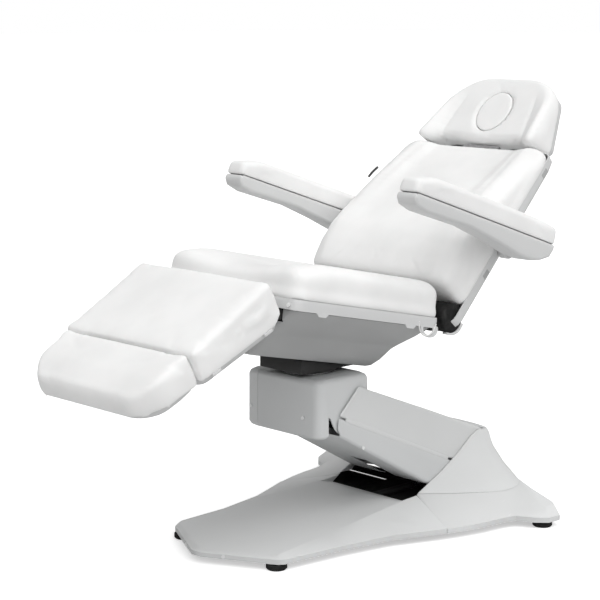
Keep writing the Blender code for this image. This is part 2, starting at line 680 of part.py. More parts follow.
# Seat rim shell: a tray with a hanging edge, small tabs on both sides and an open hook at the rear.
tray = loft([
    rectangle(-0.468, 0.133, 0.2975, 0.030, 0.0975, 4), rectangle(-0.469, 0.135, 0.2985, 0.032, 0.118, 4),
    rectangle(-0.468, 0.134, 0.2975, 0.032, 0.1285, 4),
])
tray = cut(
    tray,
    loft([rectangle(-0.464, 0.129, 0.2935, 0.027, 0.05, 4), rectangle(-0.464, 0.129, 0.2935, 0.027,
                                                                      0.1155, 4)]),
    loft([rectangle(-0.464, 0.129, 0.2935, 0.027, 0.1195, 4), rectangle(-0.464, 0.129, 0.2935, 0.027, 0.2,
                                                                        4)]),
    rod("Z", -0.25, 0.0, 0.030, 0.0, 0.3, 14),
)
for side in (-1, 1):
    for centre in (-0.366, 0.006):
        tab = prism(
            ((centre - 0.026, 0.100), (centre - 0.014, 0.088), (centre + 0.014, 0.088),
             (centre + 0.026, 0.100),
             (centre + 0.026, 0.110), (centre - 0.026, 0.110)),
            side * 0.2945, side * 0.2978,
        )
        tray = join(tray, tab)
    hook = prism(
        rounded(((0.048, 0.104), (0.056, 0.082), (0.080, 0.068), (0.106, 0.066), (0.128, 0.078),
                 (0.131, 0.104)), 0.012, 2),
        side * 0.2938, side * 0.2978,
    )
    bite = prism(rounded(((0.060, 0.097), (0.066, 0.084), (0.084, 0.0745), (0.104, 0.0735),
                          (0.110, 0.097)), 0.007, 2), side * 0.4, side * 0.25)
    tray = join(tray, hook)
    tray = cut(tray, bite)
place(tray, "seat_shell", SHELL, seat, 30)

levels = (
    (0.1205, -0.462, 0.127, 0.2915, 0.028), (0.1300, -0.462, 0.127, 0.2915, 0.028),
    (0.1370, -0.470, 0.131, 0.2980, 0.034),
    (0.1900, -0.466, 0.131, 0.2970, 0.040), (0.2140, -0.450, 0.121, 0.2860, 0.045),
    (0.2240, -0.420, 0.100, 0.2600, 0.050),
)
cushion = loft([rectangle(x0, x1, half, radius, z, 3) for z, x0, x1, half, radius in levels])
place(cushion, "seat_cushion", LEATHER, seat, 50)

# Seat frame: two rails, cross tubes, lugs down to the tilt axis and arms to the back and leg hinges.
rails = join(
    box(-0.445, 0.110, -0.160, -0.130, 0.0970, 0.1150),
    box(-0.445, 0.110, 0.130, 0.160, 0.0970, 0.1150),
    box(-0.445, -0.415, -0.2300, 0.2300, 0.0985, 0.1145),
    box(0.080, 0.110, -0.2300, 0.2300, 0.0985, 0.1145),
    box(-0.030, 0.000, -0.145, 0.145, 0.0985, 0.1145),
)
for side in (-1, 1):
    lug = prism(
        ((-0.034, 0.1), (0.034, 0.1), (0.020, 0.0), *reversed(arc(0.0, 0.0, 0.020, 180, 360, 6)),
         (-0.020, 0.0)),
        side * 0.0985, side * 0.0870,
    )
    rear_arm = prism(
        ((0.060, 0.099), (0.110, 0.099), (0.119, 0.078), (0.150, 0.080), (BH[0] + 0.008, BH[1] - 0.0178),
         *arc(BH[0], BH[1], 0.0195, -60, 130, 8), (0.150, 0.0955), (0.1270, 0.0955), (0.1225, 0.1140),
         (0.060, 0.1140)),
        side * 0.226, side * 0.214,
    )
    front_arm = prism(
        ((-0.425, 0.099), (-0.444, 0.099), (-0.452, 0.066), (LH[0] + 0.004, LH[1] - 0.0170),
         *arc(LH[0], LH[1], 0.0175, 280, 100, 8), (-0.4635, 0.0955), (-0.4595, 0.0955), (-0.4560, 0.1135),
         (-0.425, 0.1135)),
        side * 0.226, side * 0.214,
    )
    studs = (
        rod("Y", BH[0], BH[1], 0.009, *sorted((side * 0.216, side * 0.198)), 12),
        rod("Y", LH[0], LH[1], 0.008, *sorted((side * 0.216, side * 0.198)), 12),
    )
    rear_arm = join(rear_arm, studs[0])
    front_arm = join(front_arm, studs[1])
    rails = join(rails, lug, rear_arm, front_arm)
rails = cut(rails, bore("Y", 0.0, 0.0, 0.010 + GAP, -0.2, 0.2, 16))
place(rails, "seat_frame", BLACK_STEEL, seat, 40)

for name, side in (("seat_screw_near", -1), ("seat_screw_far", 1)):
    place(rod("X", side * 0.262, 0.110, 0.006, -0.4725, -0.4693, 10), name, SCREW_WHITE, seat, 40)

BACK_CRANK, BACK_MIDDLE = 0.085, 24.0
LEG_CRANK, LEG_MIDDLE = 0.050, 0.5
BACK_RATIO = 0.955 * BACK_CRANK
LEG_RATIO = 0.950 * LEG_CRANK
BACK_ROD_Z = BH[1] - 0.0775
LEG_ROD_Z = LH[1] - 0.0455

# Back and leg actuators: a tube with a motor block, hung under the tray, and a rod with a slotted end.
tube = join(
    rod("X", 0.0, BACK_ROD_Z, 0.0140, -0.085, 0.090, 14),
    prism(rounded(((-0.030, 0.035), (0.030, 0.035), (0.030, 0.0935), (-0.030, 0.0935)), 0.008, 3), -0.150,
          -0.075, "X"),
)
tube = cut(tube, bore("X", 0.0, BACK_ROD_Z, 0.0066, -0.100, 0.3, 12))
place(tube, "back_actuator_body", BLACK_PLASTIC, seat, 40)
tube = join(
    rod("X", 0.0, LEG_ROD_Z, 0.0135, -0.415, -0.250, 14),
    prism(rounded(((-0.028, 0.008), (0.028, 0.008), (0.028, 0.060), (-0.028, 0.060)), 0.008, 3), -0.262,
          -0.190, "X"),
)
tube = cut(tube, bore("X", 0.0, LEG_ROD_Z, 0.0061, -0.6, -0.240, 12))
place(tube, "leg_actuator_body", BLACK_PLASTIC, seat, 40)

slot_x = BH[0] + BACK_RATIO * math.radians(BACK_MIDDLE)
eye = prism(
    rounded(((slot_x - 0.0145, BH[1] - 0.0985), (slot_x + 0.0145, BH[1] - 0.0985),
             (slot_x + 0.0145, BH[1] - 0.0570),
             (slot_x - 0.0145, BH[1] - 0.0570)), 0.005, 2),
    -0.0105, 0.0105,
)
slot = rounded(((slot_x - 0.0080, BH[1] - 0.0935), (slot_x + 0.0080, BH[1] - 0.0935),
                (slot_x + 0.0080, BH[1] - 0.0615),
                (slot_x - 0.0080, BH[1] - 0.0615)), 0.0065, 3)
piston = cut(join(rod("X", 0.0, BACK_ROD_Z, 0.0062, -0.005, slot_x - 0.010, 12), eye), prism(slot, -0.1, 0.1))
place(piston, "back_actuator_rod", BRIGHT_STEEL, seat, 40)

slot_x = LH[0] + LEG_RATIO * math.radians(LEG_MIDDLE)
eye = prism(
    rounded(((slot_x - 0.0120, LH[1] - 0.0590), (slot_x + 0.0120, LH[1] - 0.0590),
             (slot_x + 0.0120, LH[1] - 0.0310),
             (slot_x - 0.0120, LH[1] - 0.0310)), 0.004, 2),
    -0.0105, 0.0105,
)
slot = rounded(((slot_x - 0.0063, LH[1] - 0.0560), (slot_x + 0.0063, LH[1] - 0.0560),
                (slot_x + 0.0063, LH[1] - 0.0345),
                (slot_x - 0.0063, LH[1] - 0.0345)), 0.0050, 3)
piston = cut(join(rod("X", 0.0, LEG_ROD_Z, 0.0057, slot_x + 0.008, -0.300, 12), eye), prism(slot, -0.1, 0.1))
place(piston, "leg_actuator_rod", BRIGHT_STEEL, seat, 40)


def crank(direction, length, stud, parts):
    """Twin levers from a cross tube, with a stud between their tips."""
    dx, dz = math.sin(math.radians(direction)), -math.cos(math.radians(direction))
    tip = (dx * length, dz * length)
    for low, high in ((-0.0205, -0.0125), (0.0125, 0.0205)):
        outline = []
        for u, v in ((0.0, 0.012), (length * 0.7, 0.0095), (length + 0.0085, 0.0055),
                     (length + 0.0085, -0.0055),
                     (length * 0.7, -0.0095), (0.0, -0.012)):
            outline.append((dx * u - dz * v, dz * u + dx * v))
        parts.append(prism(outline, low, high))
    parts.append(rod("Y", tip[0], tip[1], stud, -0.015, 0.015, 12))
    return parts


# ---- Backrest (frame on the back hinge; +X runs up the back, +Z faces the sitter) -------------------
RAIL_TOP = -0.0045
pieces = [
    box(0.0, 0.600, -0.195, -0.170, -0.0245, RAIL_TOP), box(0.0, 0.600, 0.170, 0.195, -0.0245, RAIL_TOP),
    box(0.575, 0.600, -0.190, 0.190, -0.0235, -0.0055), box(0.110, 0.135, -0.190, 0.190, -0.0235, -0.0055),
    box(0.430, 0.455, -0.190, 0.190, -0.0235, -0.0055),
    rod("Y", 0.286, -0.031, 0.0110, -0.356, 0.356, 14), rod("Y", 0.0, 0.0, 0.0130, -0.2050, 0.2050, 14),
]
for side in (-1, 1):
    pieces.append(rod("Y", 0.0, 0.0, 0.0185, *sorted((side * 0.2000, side * 0.2120)), 14))
    pieces.append(box(0.276, 0.296, *sorted((side * 0.172, side * 0.193)), -0.031, -0.010))
    pieces.append(box(0.005, 0.060, *sorted((side * 0.190, side * 0.2118)), -0.0185, 0.0))
    pieces.append(rod("X", side * 0.060, -0.0145, 0.0085, 0.440, 0.625, 12))
back_frame = join(*crank(-(58.5 - BACK_MIDDLE), BACK_CRANK, 0.0065, pieces))
back_frame = cut(
    back_frame,
    bore("Y", 0.0, 0.0, 0.009 + GAP, 0.1975, 0.3, 12), bore("Y", 0.0, 0.0, 0.009 + GAP, -0.3, -0.1975, 12),
    bore("X", 0.060, -0.0145, 0.0064, 0.455, 0.7, 12), bore("X", -0.060, -0.0145, 0.0064, 0.455, 0.7, 12),
)
place(back_frame, "back_frame", BLACK_STEEL, back, 40)


def back_rings(shift):
    levels = (
        (-0.0630, 0.050, 0.600, 0.215, 0.040), (-0.0570, 0.020, 0.630, 0.258, 0.040),
        (-0.0480, -0.008, 0.644, 0.284, 0.030),
        (-0.0300, -0.018, 0.652, 0.2965, 0.026), (-0.0015, -0.018, 0.654, 0.2985, 0.026),
    )
    rings = []
    for z, x0, x1, half, radius in levels:
        rings.append(rectangle(x0 + shift, x1 - shift, half - shift, radius - shift / 2,
                               z + (shift if z < -0.02 else 0), 4))
    if shift:
        rings.append([(x, y, 0.2) for x, y, _ in rings[-1]])
    return rings


shell = cut(
    loft(back_rings(0.0)), loft(back_rings(WALL)),
    box(-0.1, 0.0215, -0.2310, 0.2310, -0.2, 0.2),
    rod("Y", 0.286, -0.031, 0.0125, -0.4, 0.4, 14),
    rod("X", 0.060, -0.0145, 0.0075, 0.6, 0.7, 10), rod("X", -0.060, -0.0145, 0.0075, 0.6, 0.7, 10),
)
shell = cut(shell, box(0.0, 0.075, -0.0255, 0.0255, -0.2, 0.2))
for side in (-1, 1):
    for x0, x1 in ((0.575, 0.605), (0.175, 0.200)):
        shell = cut(shell, box(x0, x1, *sorted((side * 0.3, side * 0.29)), -0.034, -0.026))
place(shell, "back_shell", SHELL, back, 30)

cushion = prism(
    rounded(((0.034, 0.0005), (0.072, 0.098), (0.120, 0.116), (0.200, 0.124), (0.330, 0.108), (0.450, 0.080),
             (0.560, 0.048), (0.628, 0.026), (0.642, 0.010), (0.644, 0.0005)), 0.014, 2),
    -0.293, 0.293,
)
place(bevelled(cushion, 0.020, 2, 50), "back_cushion", LEATHER, back, 40)

boot = prism(arc(0.0, 0.0, 0.0500, 196, 286, 10) + arc(0.0, 0.0, 0.0470, 286, 196, 10), -0.2080, 0.2080)
boot = cut(boot, prism(((0.0, 0.0), (-0.060, -0.037), (-0.060, -0.2), (-0.002, -0.2)), -0.0235, 0.0235))
place(boot, "hinge_boot", RUBBER, back, 40)

# ---- Leg rest and foot section (frame on the leg hinge; -X runs towards the feet) -------------------
pieces = [
    box(-0.315, 0.0, -0.146, -0.118, -0.0245, -0.0035), box(-0.315, 0.0, 0.118, 0.146, -0.0245, -0.0035),
    box(-0.060, -0.040, -0.130, 0.130, -0.0225, -0.0050), box(-0.300, -0.280, -0.130, 0.130, -0.0225,
                                                              -0.0050),
    rod("Y", 0.0, 0.0, 0.0120, -0.2050, 0.2050, 14),
]
for side in (-1, 1):
    pieces.append(rod("Y", 0.0, 0.0, 0.0165, *sorted((side * 0.2000, side * 0.2120)), 14))
leg_frame = join(*crank(-(36.0 - LEG_MIDDLE), LEG_CRANK, 0.0050, pieces))
leg_frame = cut(
    leg_frame,
    bore("Y", 0.0, 0.0, 0.008 + GAP, 0.1975, 0.3, 12), bore("Y", 0.0, 0.0, 0.008 + GAP, -0.3, -0.1975, 12),
    bore("X", 0.132, -0.014, 0.0077, -0.4, -0.070, 12), bore("X", -0.132, -0.014, 0.0077, -0.4, -0.070, 12),
)
place(leg_frame, "leg_frame", BLACK_STEEL, leg, 40)


def leg_rings(shift):
    levels = (
        (-0.0450, -0.300, -0.062, 0.190, 0.030), (-0.0380, -0.314, -0.046, 0.236, 0.030),
        (-0.0240, -0.325, -0.026, 0.268, 0.026), (0.0015, -0.3290, -0.0205, 0.2820, 0.022),
        (0.0060, -0.3290, -0.0205, 0.2825, 0.022),
    )
    rings = []
    for z, x0, x1, half, radius in levels:
        rings.append(rectangle(x0 + shift, x1 - shift, half - shift, radius - shift / 2,
                               z + (shift if z < 0 else 0), 4))
    if shift:
        rings.append([(x, y, 0.2) for x, y, _ in rings[-1]])
    return rings


def rod_holes(x0, x1, radius):
    return rod("X", 0.132, -0.014, radius, x0, x1, 10), rod("X", -0.132, -0.014, radius, x0, x1, 10)


shell = cut(loft(leg_rings(0.0)), loft(leg_rings(WALL)), *rod_holes(-0.4, -0.30, 0.0090))
shell = cut(shell, box(-0.075, 0.1, -0.0255, 0.0255, -0.2, 0.2), box(-0.04, 0.1, -0.150, -0.114, -0.03, 0.2),
            box(-0.04, 0.1, 0.114, 0.150, -0.03, 0.2))
for side in (-1, 1):
    for x0 in (-0.290, -0.085):
        shell = cut(shell, box(x0, x0 + 0.028, *sorted((side * 0.3, side * 0.27)), -0.0135, -0.0065))
place(shell, "leg_shell", SHELL, leg, 30)

cushion = prism(
    rounded(
        ((-0.326, 0.0075), (-0.328, 0.074), (-0.324, 0.083), (-0.020, 0.117), (0.002, 0.104), (0.004, 0.034),
         (-0.0245, 0.0075)),
        0.010, 2,
    ),
    -0.282, 0.282,
)
place(bevelled(cushion, 0.016, 2, 50), "leg_cushion", LEATHER, leg, 40)

FOOT_X = -0.334


def foot_outline(shrink, z, back_x=FOOT_X):
    front = -0.5180 + shrink
    half = 0.262 - shrink
    outline = rounded(
        ((back_x, -half), (-0.455, -half), (front, -(0.205 - shrink * 0.6)),
         (front, 0.205 - shrink * 0.6), (-0.455, half), (back_x, half)),
        0.030, 3,
    )
    return [(x, y, z) for x, y in outline]


shell = cut(
    loft([foot_outline(0.050, -0.0450, -0.372), foot_outline(0.026, -0.0380, -0.356),
          foot_outline(0.008, -0.0240, -0.3400),
          foot_outline(0.0, 0.0015), foot_outline(0.0, 0.0060)]),
    loft([foot_outline(0.053, -0.0420, -0.375), foot_outline(0.029, -0.0350, -0.359),
          foot_outline(0.011, -0.0210, -0.3430),
          foot_outline(0.003, 0.0015, FOOT_X - 0.003), foot_outline(0.003, 0.2, FOOT_X - 0.003)]),
    *rod_holes(-0.38, -0.3, 0.0090),
)
place(shell, "foot_shell", SHELL, leg, 30)
slide = join(
    box(-0.500, -0.345, -0.160, 0.160, -0.0055, 0.0015),
    box(-0.480, -0.345, -0.142, -0.122, -0.0200, -0.0040), box(-0.480, -0.345, 0.122, 0.142, -0.0200,
                                                               -0.0040),
    rod("X", 0.132, -0.014, 0.0072, -0.400, -0.120, 12), rod("X", -0.132, -0.014, 0.0072, -0.400, -0.120, 12),
)
place(slide, "foot_slide_frame", BLACK_STEEL, leg, 40)
top = [(x, y, z) for x, y, z in foot_outline(0.004, 0.0075, FOOT_X - 0.002)]
cushion = loft([
    top, foot_outline(-0.002, 0.030, FOOT_X - 0.001), foot_outline(0.0, 0.062, FOOT_X),
    foot_outline(0.010, 0.076, FOOT_X - 0.003), foot_outline(0.026, 0.0815, FOOT_X - 0.008),
])
place(cushion, "foot_cushion", LEATHER, leg, 50)

# ---- Headrest: slider in the back's guide tubes, and the tilting headrest ---------------------------
HH = (0.675, -0.040)
slider = join(
    box(0.6570, 0.6690, -0.075, 0.075, -0.0225, -0.0065),
    rod("X", 0.060, -0.0145, 0.0060, 0.500, 0.664, 12), rod("X", -0.060, -0.0145, 0.0060, 0.500, 0.664, 12),
    prism(((0.6575, -0.010), (0.6575, -0.030), *arc(HH[0], HH[1], 0.0115, 200, 400, 10),
           (0.6690, -0.010)), -0.0280, -0.0180),
    prism(((0.6575, -0.010), (0.6575, -0.030), *arc(HH[0], HH[1], 0.0115, 200, 400, 10),
           (0.6690, -0.010)), 0.0180, 0.0280),
    rod("Y", HH[0], HH[1], 0.0060, -0.0420, 0.0420, 12),
)
place(slider, "headrest_slider", BRIGHT_STEEL, back, 40)
hinge = frame("headrest", HH[0], HH[1], HEAD_PITCH - BACK_PITCH, parent=back)

plate = join(
    prism(rounded(((0.016, -0.110), (0.200, -0.110), (0.200, 0.110), (0.016, 0.110)), 0.02, 3), -0.0175,
          -0.0145, "Z"),
    prism((*arc(0.0, 0.0, 0.0108, 80, 260, 8), (0.022, -0.0220), (0.050, -0.0168), (0.050, -0.0155),
           (0.0100, -0.0150)), -0.039, -0.030),
    prism((*arc(0.0, 0.0, 0.0108, 80, 260, 8), (0.022, -0.0220), (0.050, -0.0168), (0.050, -0.0155),
           (0.0100, -0.0150)), 0.030, 0.039),
)
plate = cut(plate, bore("Y", 0.0, 0.0, 0.0063, -0.1, 0.1, 12))
turns = [2 * math.pi * i / 36 for i in range(36)]
oval = [(0.127 + 0.0735 * math.cos(turn), 0.091 * math.sin(turn)) for turn in turns]
plate = cut(plate, prism([(0.127 + (x - 0.127) * 0.90, y * 0.90) for x, y in oval], -0.1, 0.1, "Z"))
place(plate, "headrest_frame", BLACK_STEEL, hinge, 40)


def headrest_outline(shrink, z, low=-0.006):
    wide = max(0.022, low + 0.012)
    high = 0.260 - shrink
    outline = rounded(
        ((low + shrink, -(0.214 - shrink)), (wide, -(0.243 - shrink)), (0.200, -(0.212 - shrink)),
         (high, -(0.130 - shrink)), (high, 0.130 - shrink), (0.200, 0.212 - shrink),
         (wide, 0.243 - shrink), (low + shrink, 0.214 - shrink)),
        0.020, 3,
    )
    return [(x, y, z) for x, y in outline]


shell = cut(
    loft([headrest_outline(0.030, -0.0560), headrest_outline(0.014, -0.0520), headrest_outline(0.004, -0.0180)]),
    loft([headrest_outline(0.033, -0.0530), headrest_outline(0.017, -0.0490), headrest_outline(0.007, -0.0180),
          headrest_outline(0.007, 0.1)]),
    box(-0.1, 0.030, -0.0480, 0.0480, -0.2, 0.2),
    prism([(0.127 + (x - 0.127) * 0.93, y * 0.93) for x, y in oval], -0.1, 0.1, "Z"),
)
place(shell, "headrest_shell", SHELL, hinge, 30)
cushion = cut(
    loft([headrest_outline(0.006, -0.0135, 0.015), headrest_outline(0.000, 0.005, 0.021),
          headrest_outline(0.000, 0.040, 0.026), headrest_outline(0.008, 0.056, 0.026),
          headrest_outline(0.020, 0.0630, 0.022)]),
    prism(oval, -0.1, 0.1, "Z"),
)
place(cushion, "headrest_cushion", LEATHER, hinge, 50)
rings = []
for z, k in ((-0.0130, 0.955), (-0.0060, 0.975), (0.0560, 0.975), (0.0635, 0.935)):
    rings.append([(0.127 + (x - 0.127) * k, y * k, z) for x, y in oval])
place(loft(rings), "face_plug", LEATHER, hinge, 50)

# ---- Armrests (frames on their axles; -X runs forwards) ---------------------------------------------
for name, side in (("near", -1), ("far", 1)):
    rest = frame("armrest_" + name, 0.286, -0.031, ARMREST_PITCH - BACK_PITCH, side * ARMREST_Y, back)
    outline = [
        (-0.556, 0.0545), (-0.562, 0.036), (-0.546, 0.017), (-0.500, 0.008), (-0.300, 0.012),
        (-0.170, 0.000), (-0.050, -0.016),
        (0.010, -0.018), (0.060, -0.006), (0.098, 0.012), (0.110, 0.035), (0.112, 0.0545),
    ]
    shell = bevelled(prism(outline, -0.040, 0.040), 0.012, 3, 50)
    hollow = [
        (-0.550, 0.1), (-0.556, 0.037), (-0.541, 0.0215), (-0.498, 0.0125), (-0.300, 0.0165),
        (-0.170, 0.0045), (-0.060, -0.0105),
        (0.010, -0.0125), (0.058, -0.001), (0.093, 0.016), (0.105, 0.036), (0.107, 0.1),
    ]
    shell = cut(shell, prism(hollow, -0.036, 0.036))
    boss = cut(rod("Y", 0.0, 0.0, 0.0170, *sorted((-side * 0.0385, side * 0.0)), 14),
               box(-0.2, 0.2, -0.2, 0.2, 0.0155, 0.2))
    shell = join(shell, boss)
    shell = cut(shell, bore("Y", 0.0, 0.0, 0.0110 + GAP, *sorted((-side * 0.1, -side * 0.008)), 14))
    place(shell, "armrest_shell_" + name, SHELL, rest, 35)
    pad = prism(
        rounded(((-0.559, 0.0560), (-0.564, 0.082), (-0.552, 0.103), (-0.520, 0.110), (0.085, 0.114),
                 (0.110, 0.104), (0.116, 0.082),
                 (0.113, 0.0560)), 0.010, 2),
        -0.040, 0.040,
    )
    place(bevelled(pad, 0.012, 2, 50), "armrest_pad_" + name, LEATHER, rest, 40)

bpy.context.view_layer.update()
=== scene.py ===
"""Looks of the powered treatment bed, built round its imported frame.

Metres, +Z up. -X is the foot end. Soft pieces are shaped in the frame of the section they ride on:
x along the section, y across it, z along its upward normal.
"""
import json
import math

import bmesh
import bpy
import numpy as np
from mathutils import Matrix, Vector


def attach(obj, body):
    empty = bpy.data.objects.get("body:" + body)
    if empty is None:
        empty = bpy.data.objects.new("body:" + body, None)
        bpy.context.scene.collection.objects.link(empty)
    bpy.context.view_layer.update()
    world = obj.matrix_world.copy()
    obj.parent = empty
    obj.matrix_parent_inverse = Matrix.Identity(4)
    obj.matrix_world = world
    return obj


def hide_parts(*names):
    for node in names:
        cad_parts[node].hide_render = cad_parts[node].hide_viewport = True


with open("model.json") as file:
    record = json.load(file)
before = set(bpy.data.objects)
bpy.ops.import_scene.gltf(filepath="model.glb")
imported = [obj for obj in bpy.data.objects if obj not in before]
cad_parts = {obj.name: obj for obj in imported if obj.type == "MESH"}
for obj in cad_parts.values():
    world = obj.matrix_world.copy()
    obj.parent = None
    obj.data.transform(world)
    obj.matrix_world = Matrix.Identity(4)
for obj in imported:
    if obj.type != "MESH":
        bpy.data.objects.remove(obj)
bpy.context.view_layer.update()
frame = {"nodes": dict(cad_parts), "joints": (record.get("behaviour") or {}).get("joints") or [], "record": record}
JOINTS = {joint["name"]: joint for joint in frame["joints"]}
SLOTS = {row["node"]: row["material_slot"] for row in frame["record"]["subparts"]}


def section(joint, pitch):
    """The placing matrix of a section that turns about a joint, at its pitch about +Y at rest."""
    return Matrix.Translation(JOINTS[joint]["pos_m"]) @ Matrix.Rotation(math.radians(pitch), 4, "Y")


SEAT = section("seat_tilt", 12.0)
BACK = section("back", -46.5)
LEG = section("leg", -24.0)
HEAD = section("headrest_tilt", -62.0)
ARMREST = {"near": section("armrest_near", 18.4), "far": section("armrest_far", 18.4)}


# ---- Materials ----------------------------------------------------------------------------------
class Finish:
    """A Principled material whose detail is built node by node."""

    def __init__(self, name, roughness=0.5, metallic=0.0, **inputs):
        self.material = bpy.data.materials.new(name)
        self.material.use_nodes = True
        self.tree = self.material.node_tree
        self.shader = self.tree.nodes["Principled BSDF"]
        self.shader.inputs["Roughness"].default_value = roughness
        self.shader.inputs["Metallic"].default_value = metallic
        for key, value in inputs.items():
            self.shader.inputs[key.replace("_", " ")].default_value = value
        self.place = self.node("ShaderNodeTexCoord").outputs["Object"]
        self.bump = None

    def node(self, kind, **settings):
        made = self.tree.nodes.new(kind)
        for key, value in settings.items():
            setattr(made, key, value)
        return made

    def link(self, source, target):
        self.tree.links.new(source, target)

    def stretched(self, scale):
        mapping = self.node("ShaderNodeMapping")
        mapping.inputs["Scale"].default_value = scale
        self.link(self.place, mapping.inputs["Vector"])
        return mapping.outputs["Vector"]

    def noise(self, scale, detail=3.0, rough=0.5, stretch=None):
        made = self.node("ShaderNodeTexNoise")
        self.link(self.stretched(stretch) if stretch else self.place, made.inputs["Vector"])
        made.inputs["Scale"].default_value = scale
        made.inputs["Detail"].default_value = detail
        made.inputs["Roughness"].default_value = rough
        return made.outputs["Fac"]

    def cells(self, scale, feature="DISTANCE_TO_EDGE"):
        made = self.node("ShaderNodeTexVoronoi", feature=feature)
        self.link(self.place, made.inputs["Vector"])
        made.inputs["Scale"].default_value = scale
        return made.outputs["Distance"]

    def levels(self, source, low, high, out_low=0.0, out_high=1.0):
        made = self.node("ShaderNodeMapRange")
        made.clamp = True
        self.link(source, made.inputs["Value"])
        for key, value in (("From Min", low), ("From Max", high), ("To Min", out_low), ("To Max", out_high)):
            made.inputs[key].default_value = value
        return made.outputs["Result"]

    def blend(self, factor, first, second):
        """Mix two colours, each a triple or a socket."""
        made = self.node("ShaderNodeMix", data_type="RGBA")
        self.link(factor, made.inputs["Factor"])
        for socket, value in ((made.inputs[6], first), (made.inputs[7], second)):
            if isinstance(value, tuple):
                socket.default_value = (*value, 1.0)
            else:
                self.link(value, socket)
        return made.outputs[2]

    def colour(self, source):
        self.link(source, self.shader.inputs["Base Color"])

    def rough(self, source):
        self.link(source, self.shader.inputs["Roughness"])

    def relief(self, source, strength, distance):
        made = self.node("ShaderNodeBump")
        made.inputs["Strength"].default_value = strength
        made.inputs["Distance"].default_value = distance
        self.link(source, made.inputs["Height"])
        if self.bump:
            self.link(self.bump, made.inputs["Normal"])
        self.bump = made.outputs["Normal"]
        self.link(self.bump, self.shader.inputs["Normal"])

    def edges(self, low, high):
        """0 in creases, 1 on ridges: the leather paints shade into its creases, the shells take wear on their
        ridges.
        """
        return self.levels(self.node("ShaderNodeNewGeometry").outputs["Pointiness"], low, high)


def leather(name, light, dull_tone_and_crease_shade):
    """Smooth coated leather: fine pebble grain, soft mottling, and painted shade that darkens the creases."""
    made = Finish(name, Specular_IOR_Level=0.34)
    made.shader.inputs["Subsurface Weight"].default_value = 0.04
    made.shader.inputs["Subsurface Radius"].default_value = (0.004, 0.003, 0.003)
    made.shader.inputs["Sheen Weight"].default_value = 0.03
    made.shader.inputs["Sheen Roughness"].default_value = 0.5
    patches = made.levels(made.noise(5.0, 4.0), 0.35, 0.65)
    worn = made.blend(patches, light, tuple(0.5 * (a + b) for a, b in zip(light, dull_tone_and_crease_shade)))
    # Painted shade: low pointiness, in the creases, takes the darker tone in place of the shade that falls there.
    made.colour(made.blend(made.edges(0.38, 0.48), dull_tone_and_crease_shade, worn))
    made.rough(made.levels(made.noise(22.0, 3.0), 0.3, 0.7, 0.36, 0.50))
    made.relief(made.noise(14.0, 2.0), 0.10, 0.004)
    made.relief(made.cells(620.0), 0.10, 0.0004)
    made.relief(made.noise(1500.0, 2.0), 0.06, 0.0003)
    return made.material


def moulded(name, base, shade, scuff):
    """Injection-moulded shell: spark-eroded texture, uneven sheen, rubbed edges, faint scuffs."""
    made = Finish(name, Specular_IOR_Level=0.38)
    patches = made.levels(made.noise(3.0, 3.0), 0.35, 0.65)
    body = made.blend(patches, base, shade)
    marks = made.levels(made.noise(26.0, 4.0, 0.6, (1.0, 6.0, 1.6)), 0.66, 0.80)
    rubbed = made.blend(marks, body, scuff)
    made.colour(made.blend(made.edges(0.52, 0.62), rubbed, scuff))
    made.rough(made.levels(made.noise(9.0, 4.0), 0.3, 0.7, 0.40, 0.54))
    made.relief(made.noise(900.0, 2.0), 0.10, 0.0003)
    made.relief(made.noise(7.0, 1.0), 0.05, 0.002)
    return made.material


def painted(name, base, chipped, metallic):
    """Powder-coated steel: orange peel, slightly worn edges, dust in the mottling."""
    made = Finish(name, 0.7, metallic, Specular_IOR_Level=0.12)
    patches = made.levels(made.noise(12.0, 4.0), 0.40, 0.70)
    body = made.blend(patches, base, tuple(min(1.0, 1.5 * c + 0.002) for c in base))
    made.colour(made.blend(made.edges(0.53, 0.60), body, chipped))
    made.rough(made.levels(made.noise(30.0, 3.0), 0.3, 0.7, 0.60, 0.80))
    made.relief(made.noise(420.0, 2.0), 0.12, 0.0004)
    return made.material


def turned(name):
    """Bright turned steel with fine tool lines."""
    made = Finish(name, 0.28, 1.0)
    lines = made.noise(260.0, 2.0, 0.5, (1.0, 0.05, 1.0))
    made.colour(made.blend(lines, (0.52, 0.52, 0.53), (0.70, 0.70, 0.71)))
    made.rough(made.levels(lines, 0.3, 0.7, 0.20, 0.36))
    made.relief(lines, 0.06, 0.0003)
    return made.material


def rubber(name):
    made = Finish(name, 0.8, Specular_IOR_Level=0.3)
    dust = made.levels(made.noise(40.0, 5.0), 0.45, 0.75)
    made.colour(made.blend(dust, (0.010, 0.010, 0.010), (0.030, 0.030, 0.029)))
    made.rough(made.levels(made.noise(60.0, 2.0), 0.3, 0.7, 0.68, 0.9))
    made.relief(made.noise(700.0, 2.0), 0.2, 0.0003)
    return made.material
